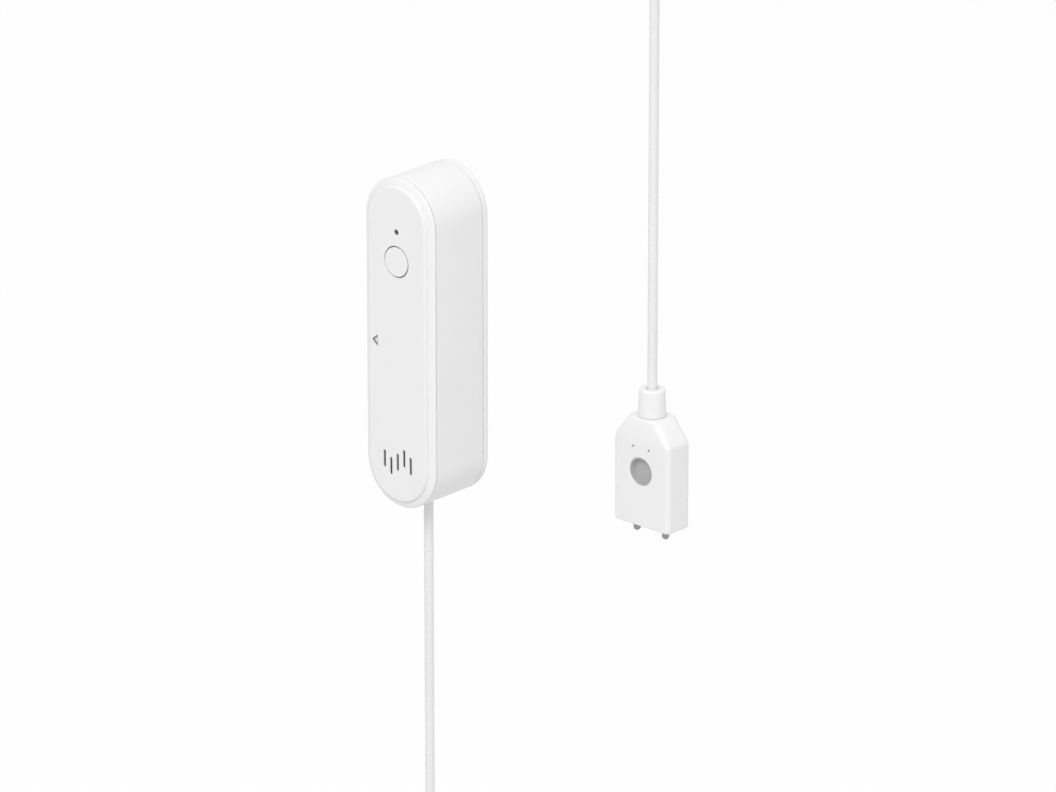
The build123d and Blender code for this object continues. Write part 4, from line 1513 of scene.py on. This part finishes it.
    def clip_shape(self) -> Piece:
        """One wall clip: a foot, a neck and a jaw round the lead, open to the front.

        Returns:
            The clip, to be repeated.
        """
        bore, jaw = self.clip_jaw
        neck, foot, low = self.clip_neck, self.clip_foot, -self.clip_reach
        mouth, lips = (math.asin(self.clip_mouth / radius) for radius in self.clip_jaw)
        join = math.asin(neck / jaw)
        up, down = math.pi / 2, math.pi * 1.5
        outline = self._arc(bore, up + math.tau - mouth, up + mouth, 20)
        outline += self._arc(jaw, up + lips, down - join, 12)
        outline += [(-neck, low + 1.0), (-foot, low + 1.0), (-foot, low)]
        outline += [(foot, low), (foot, low + 1.0), (neck, low + 1.0)]
        outline += self._arc(jaw, down + join, up + math.tau - lips, 12)
        skin = Skin("clip_shape")
        half = self.clip_length / 2
        ends = [skin.ring((x, y, z) for x, y in outline) for z in (-half, half)]
        skin.bands(ends)
        skin.cap(ends)
        made = skin.build()
        soft = made.modifiers.new("soft_edges", "BEVEL")
        soft.width = self.clip_edge * MM
        soft.segments = 2
        soft.angle_limit = math.radians(40)
        return made

    def clips(self) -> Piece:
        """The wall clips, one at the middle of each clipped run.

        Returns:
            The piece.
        """
        spots = []
        for index, _ in self.clipped:
            start, end = (Vector(corner) for corner in self.corners[index : index + 2])
            along = (end - start).normalized()
            out = Vector((0.0, -1.0, 0.0))
            spot = Matrix((out.cross(along), out, along)).transposed().to_4x4()
            spot.translation = (start + end) / 2
            spots.append(spot)
        made = set_on_points("lead_clips", self.clip_shape(), spots, "white_clip")
        return dress(made, UNIT_BODY, "white_clip", *(name for _, name in self.clipped))

    def tie_shape(self) -> Piece:
        """One strap round the bundle, with its small square head outside.

        Returns:
            The tie, to be repeated.
        """
        skin = Skin("tie_shape")
        bundle = (self.layers - 1) * self.pitch + self.diameter
        side = bundle + self.tie_slack
        inner = soft_rectangle(side, side, self.tie_corner)
        thick, half, soft = 0.8, 2.0, 0.15
        edges = [(0.0, half), (thick, half), (thick, -half), (0.0, -half)]
        strap = softened([(0.0, 0.0), *((*edge, soft) for edge in edges), (0.0, 0.0)], 3)
        skin.bands([skin.ring((x, y, z) for x, y in inner.ring(grow)) for grow, z in strap])
        head = soft_rectangle(2.6, 4.6, 0.4, (bundle / 2 + 0.75, 0.0), 3)
        body = ((-0.3, -2.3), (0.0, -2.0), (0.0, 2.0), (-0.3, 2.3))
        loops = [skin.ring((x, y, z) for x, y in head.ring(grow)) for grow, z in body]
        skin.bands(loops)
        skin.cap(loops)
        return skin.build()

    def ties(self) -> Piece:
        """The two straps that hold the coil.

        Returns:
            The piece.
        """
        spots = []
        middle = self.depth - (self.layers - 1) / 2 * self.pitch
        side = Vector((0.0, 1.0, 0.0))
        for degrees in self.tie_turns:
            turned = math.radians(degrees)
            out = Vector((math.cos(turned), 0.0, math.sin(turned)))
            spot = Matrix((out, side, out.cross(side))).transposed().to_4x4()
            centre = Vector((self.outer, -middle, self.coil_z)) + out * self.mean_radius
            spot.translation = centre * MM
            spots.append(spot)
        made = set_on_points("coil_ties", self.tie_shape(), spots, "white_tie")
        return dress(made, UNIT_BODY, "white_tie", "coil_tie_upper", "coil_tie_lower")

    def build(self) -> None:
        lead = self.cord()
        clips = self.clips()
        ties = self.ties()


@dataclass
class Studio:
    """The camera, the lamps, the pale floor and the white surroundings."""

    target: Point3 = (15.59, 14.35, -22.28)
    towards: Point3 = (0.6334, -0.6884, 0.3534)
    distance: float = 2309.6
    lens: float = 271.5
    floor_z: float = -520.0
    level: float = 0.81
    slant: Point3 = (0.16, -0.06, 0.36)
    white: Colour = (1.0, 1.0, 1.0, 1.0)
    floor_size: float = 12.0
    floor_tones: tuple[float, float] = (0.70, 0.97)
    floor_glow: float = 0.92
    lamp_aim: Point3 = (0.04, 0.0, 0.0)

    def camera(self) -> None:
        """Sets the camera at the photograph's angle."""
        data = bpy.data.cameras.new("studio_camera")
        data.lens = self.lens
        data.sensor_width = 36.0
        data.sensor_fit = "HORIZONTAL"
        data.clip_start = 0.05
        data.clip_end = 50.0
        towards = Vector(self.towards).normalized()
        made = new_object("studio_camera", data)
        made.location = (Vector(self.target) + towards * self.distance) * MM
        made.rotation_euler = towards.to_track_quat("Z", "Y").to_euler()
        bpy.context.scene.camera = made

    def surroundings(self) -> None:
        """A world that is white to the camera and a soft sky to the object."""
        world = bpy.data.worlds.new("studio_sky")
        world.use_nodes = True
        bpy.context.scene.world = world
        tree = world.node_tree
        tree.nodes.clear()
        where = tree.nodes.new("ShaderNodeTexCoord").outputs["Generated"]
        aims = (where, self.slant)
        aim = NodeTools.add(tree, "ShaderNodeVectorMath", *aims, operation="DOT_PRODUCT")
        parts = (aim.outputs["Value"], self.level)
        light = NodeTools.add(tree, "ShaderNodeMath", *parts, operation="ADD")
        sky = NodeTools.add(tree, "ShaderNodeBackground", Strength=light.outputs["Value"])
        white = NodeTools.add(tree, "ShaderNodeBackground", Color=self.white, Strength=1.0)
        both = (sky.outputs["Background"], white.outputs["Background"])
        mix = NodeTools.add(tree, "ShaderNodeMixShader", self.looked_at(tree), *both)
        NodeTools.add(tree, "ShaderNodeOutputWorld", Surface=mix.outputs["Shader"])

    @staticmethod
    def looked_at(tree: Tree) -> Socket:
        """A socket that is one where the camera, a reflection or clear plastic looks.

        Args:
            tree: the tree to add to.

        Returns:
            The socket.
        """
        ray = tree.nodes.new("ShaderNodeLightPath").outputs
        seen = ray["Is Camera Ray"]
        for other in ("Is Glossy Ray", "Is Transmission Ray"):
            either = NodeTools.add(tree, "ShaderNodeMath", seen, ray[other], operation="MAXIMUM")
            seen = either.outputs["Value"]
        return seen

    def floor(self) -> None:
        """A plain pale floor, far below what hangs on the wall."""
        place = (0.0, 0.0, self.floor_z * MM)
        bpy.ops.mesh.primitive_plane_add(size=self.floor_size, location=place)
        plane = bpy.context.object
        plane.name = "studio_floor"
        made = bpy.data.materials.new("studio_floor_paint")
        made.use_nodes = True
        tree = made.node_tree
        shader = next(n for n in tree.nodes if n.type == "BSDF_PRINCIPLED")
        shader.inputs["Roughness"].default_value = 0.8
        seen = self.looked_at(tree)
        paint = NodeTools.mix(tree, seen, *((tone, tone, tone, 1.0) for tone in self.floor_tones))
        tree.links.new(paint, shader.inputs["Base Color"])
        share = NodeTools.add(tree, "ShaderNodeMath", seen, self.floor_glow, operation="MULTIPLY")
        glow = NodeTools.add(tree, "ShaderNodeEmission", Strength=1.0)
        both = (shader.outputs["BSDF"], glow.outputs["Emission"])
        mix = NodeTools.add(tree, "ShaderNodeMixShader", share.outputs["Value"], *both)
        leave = next(n for n in tree.nodes if n.type == "OUTPUT_MATERIAL")
        tree.links.new(mix.outputs["Shader"], leave.inputs["Surface"])
        plane.data.materials.append(made)

    def lamp(self, name: str, place: Point3, size: float, power: float) -> None:
        """Adds a square soft lamp aimed at the middle of the object.

        Args:
            name: the lamp's name.
            place: where it stands, in metres.
            size: the length of its side, in metres.
            power: its power in watts.
        """
        data = bpy.data.lights.new(name, "AREA")
        data.shape = "SQUARE"
        data.size = size
        data.energy = power
        made = new_object(name, data)
        made.location = place
        away = Vector(place) - Vector(self.lamp_aim)
        made.rotation_euler = away.to_track_quat("Z", "Y").to_euler()

    def build(self) -> None:
        """Sets up the studio."""
        bpy.context.scene.view_settings.view_transform = "Standard"
        self.camera()
        self.surroundings()
        self.floor()
        self.lamp("soft_key", (0.74, -1.35, 1.35), 0.6, 13.0)
        self.lamp("low_front", (1.31, -1.20, -0.66), 0.5, 2.8)


def main() -> None:
    """Builds the scene in order."""
    logging.basicConfig(level=logging.INFO, format="%(name)s: %(message)s")
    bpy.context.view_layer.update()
    Studio().build()
    dress_carried_nodes()
    Lead().build()
    WallUnit().build()
    Probe().build()


if __name__ == "__main__":
    main()
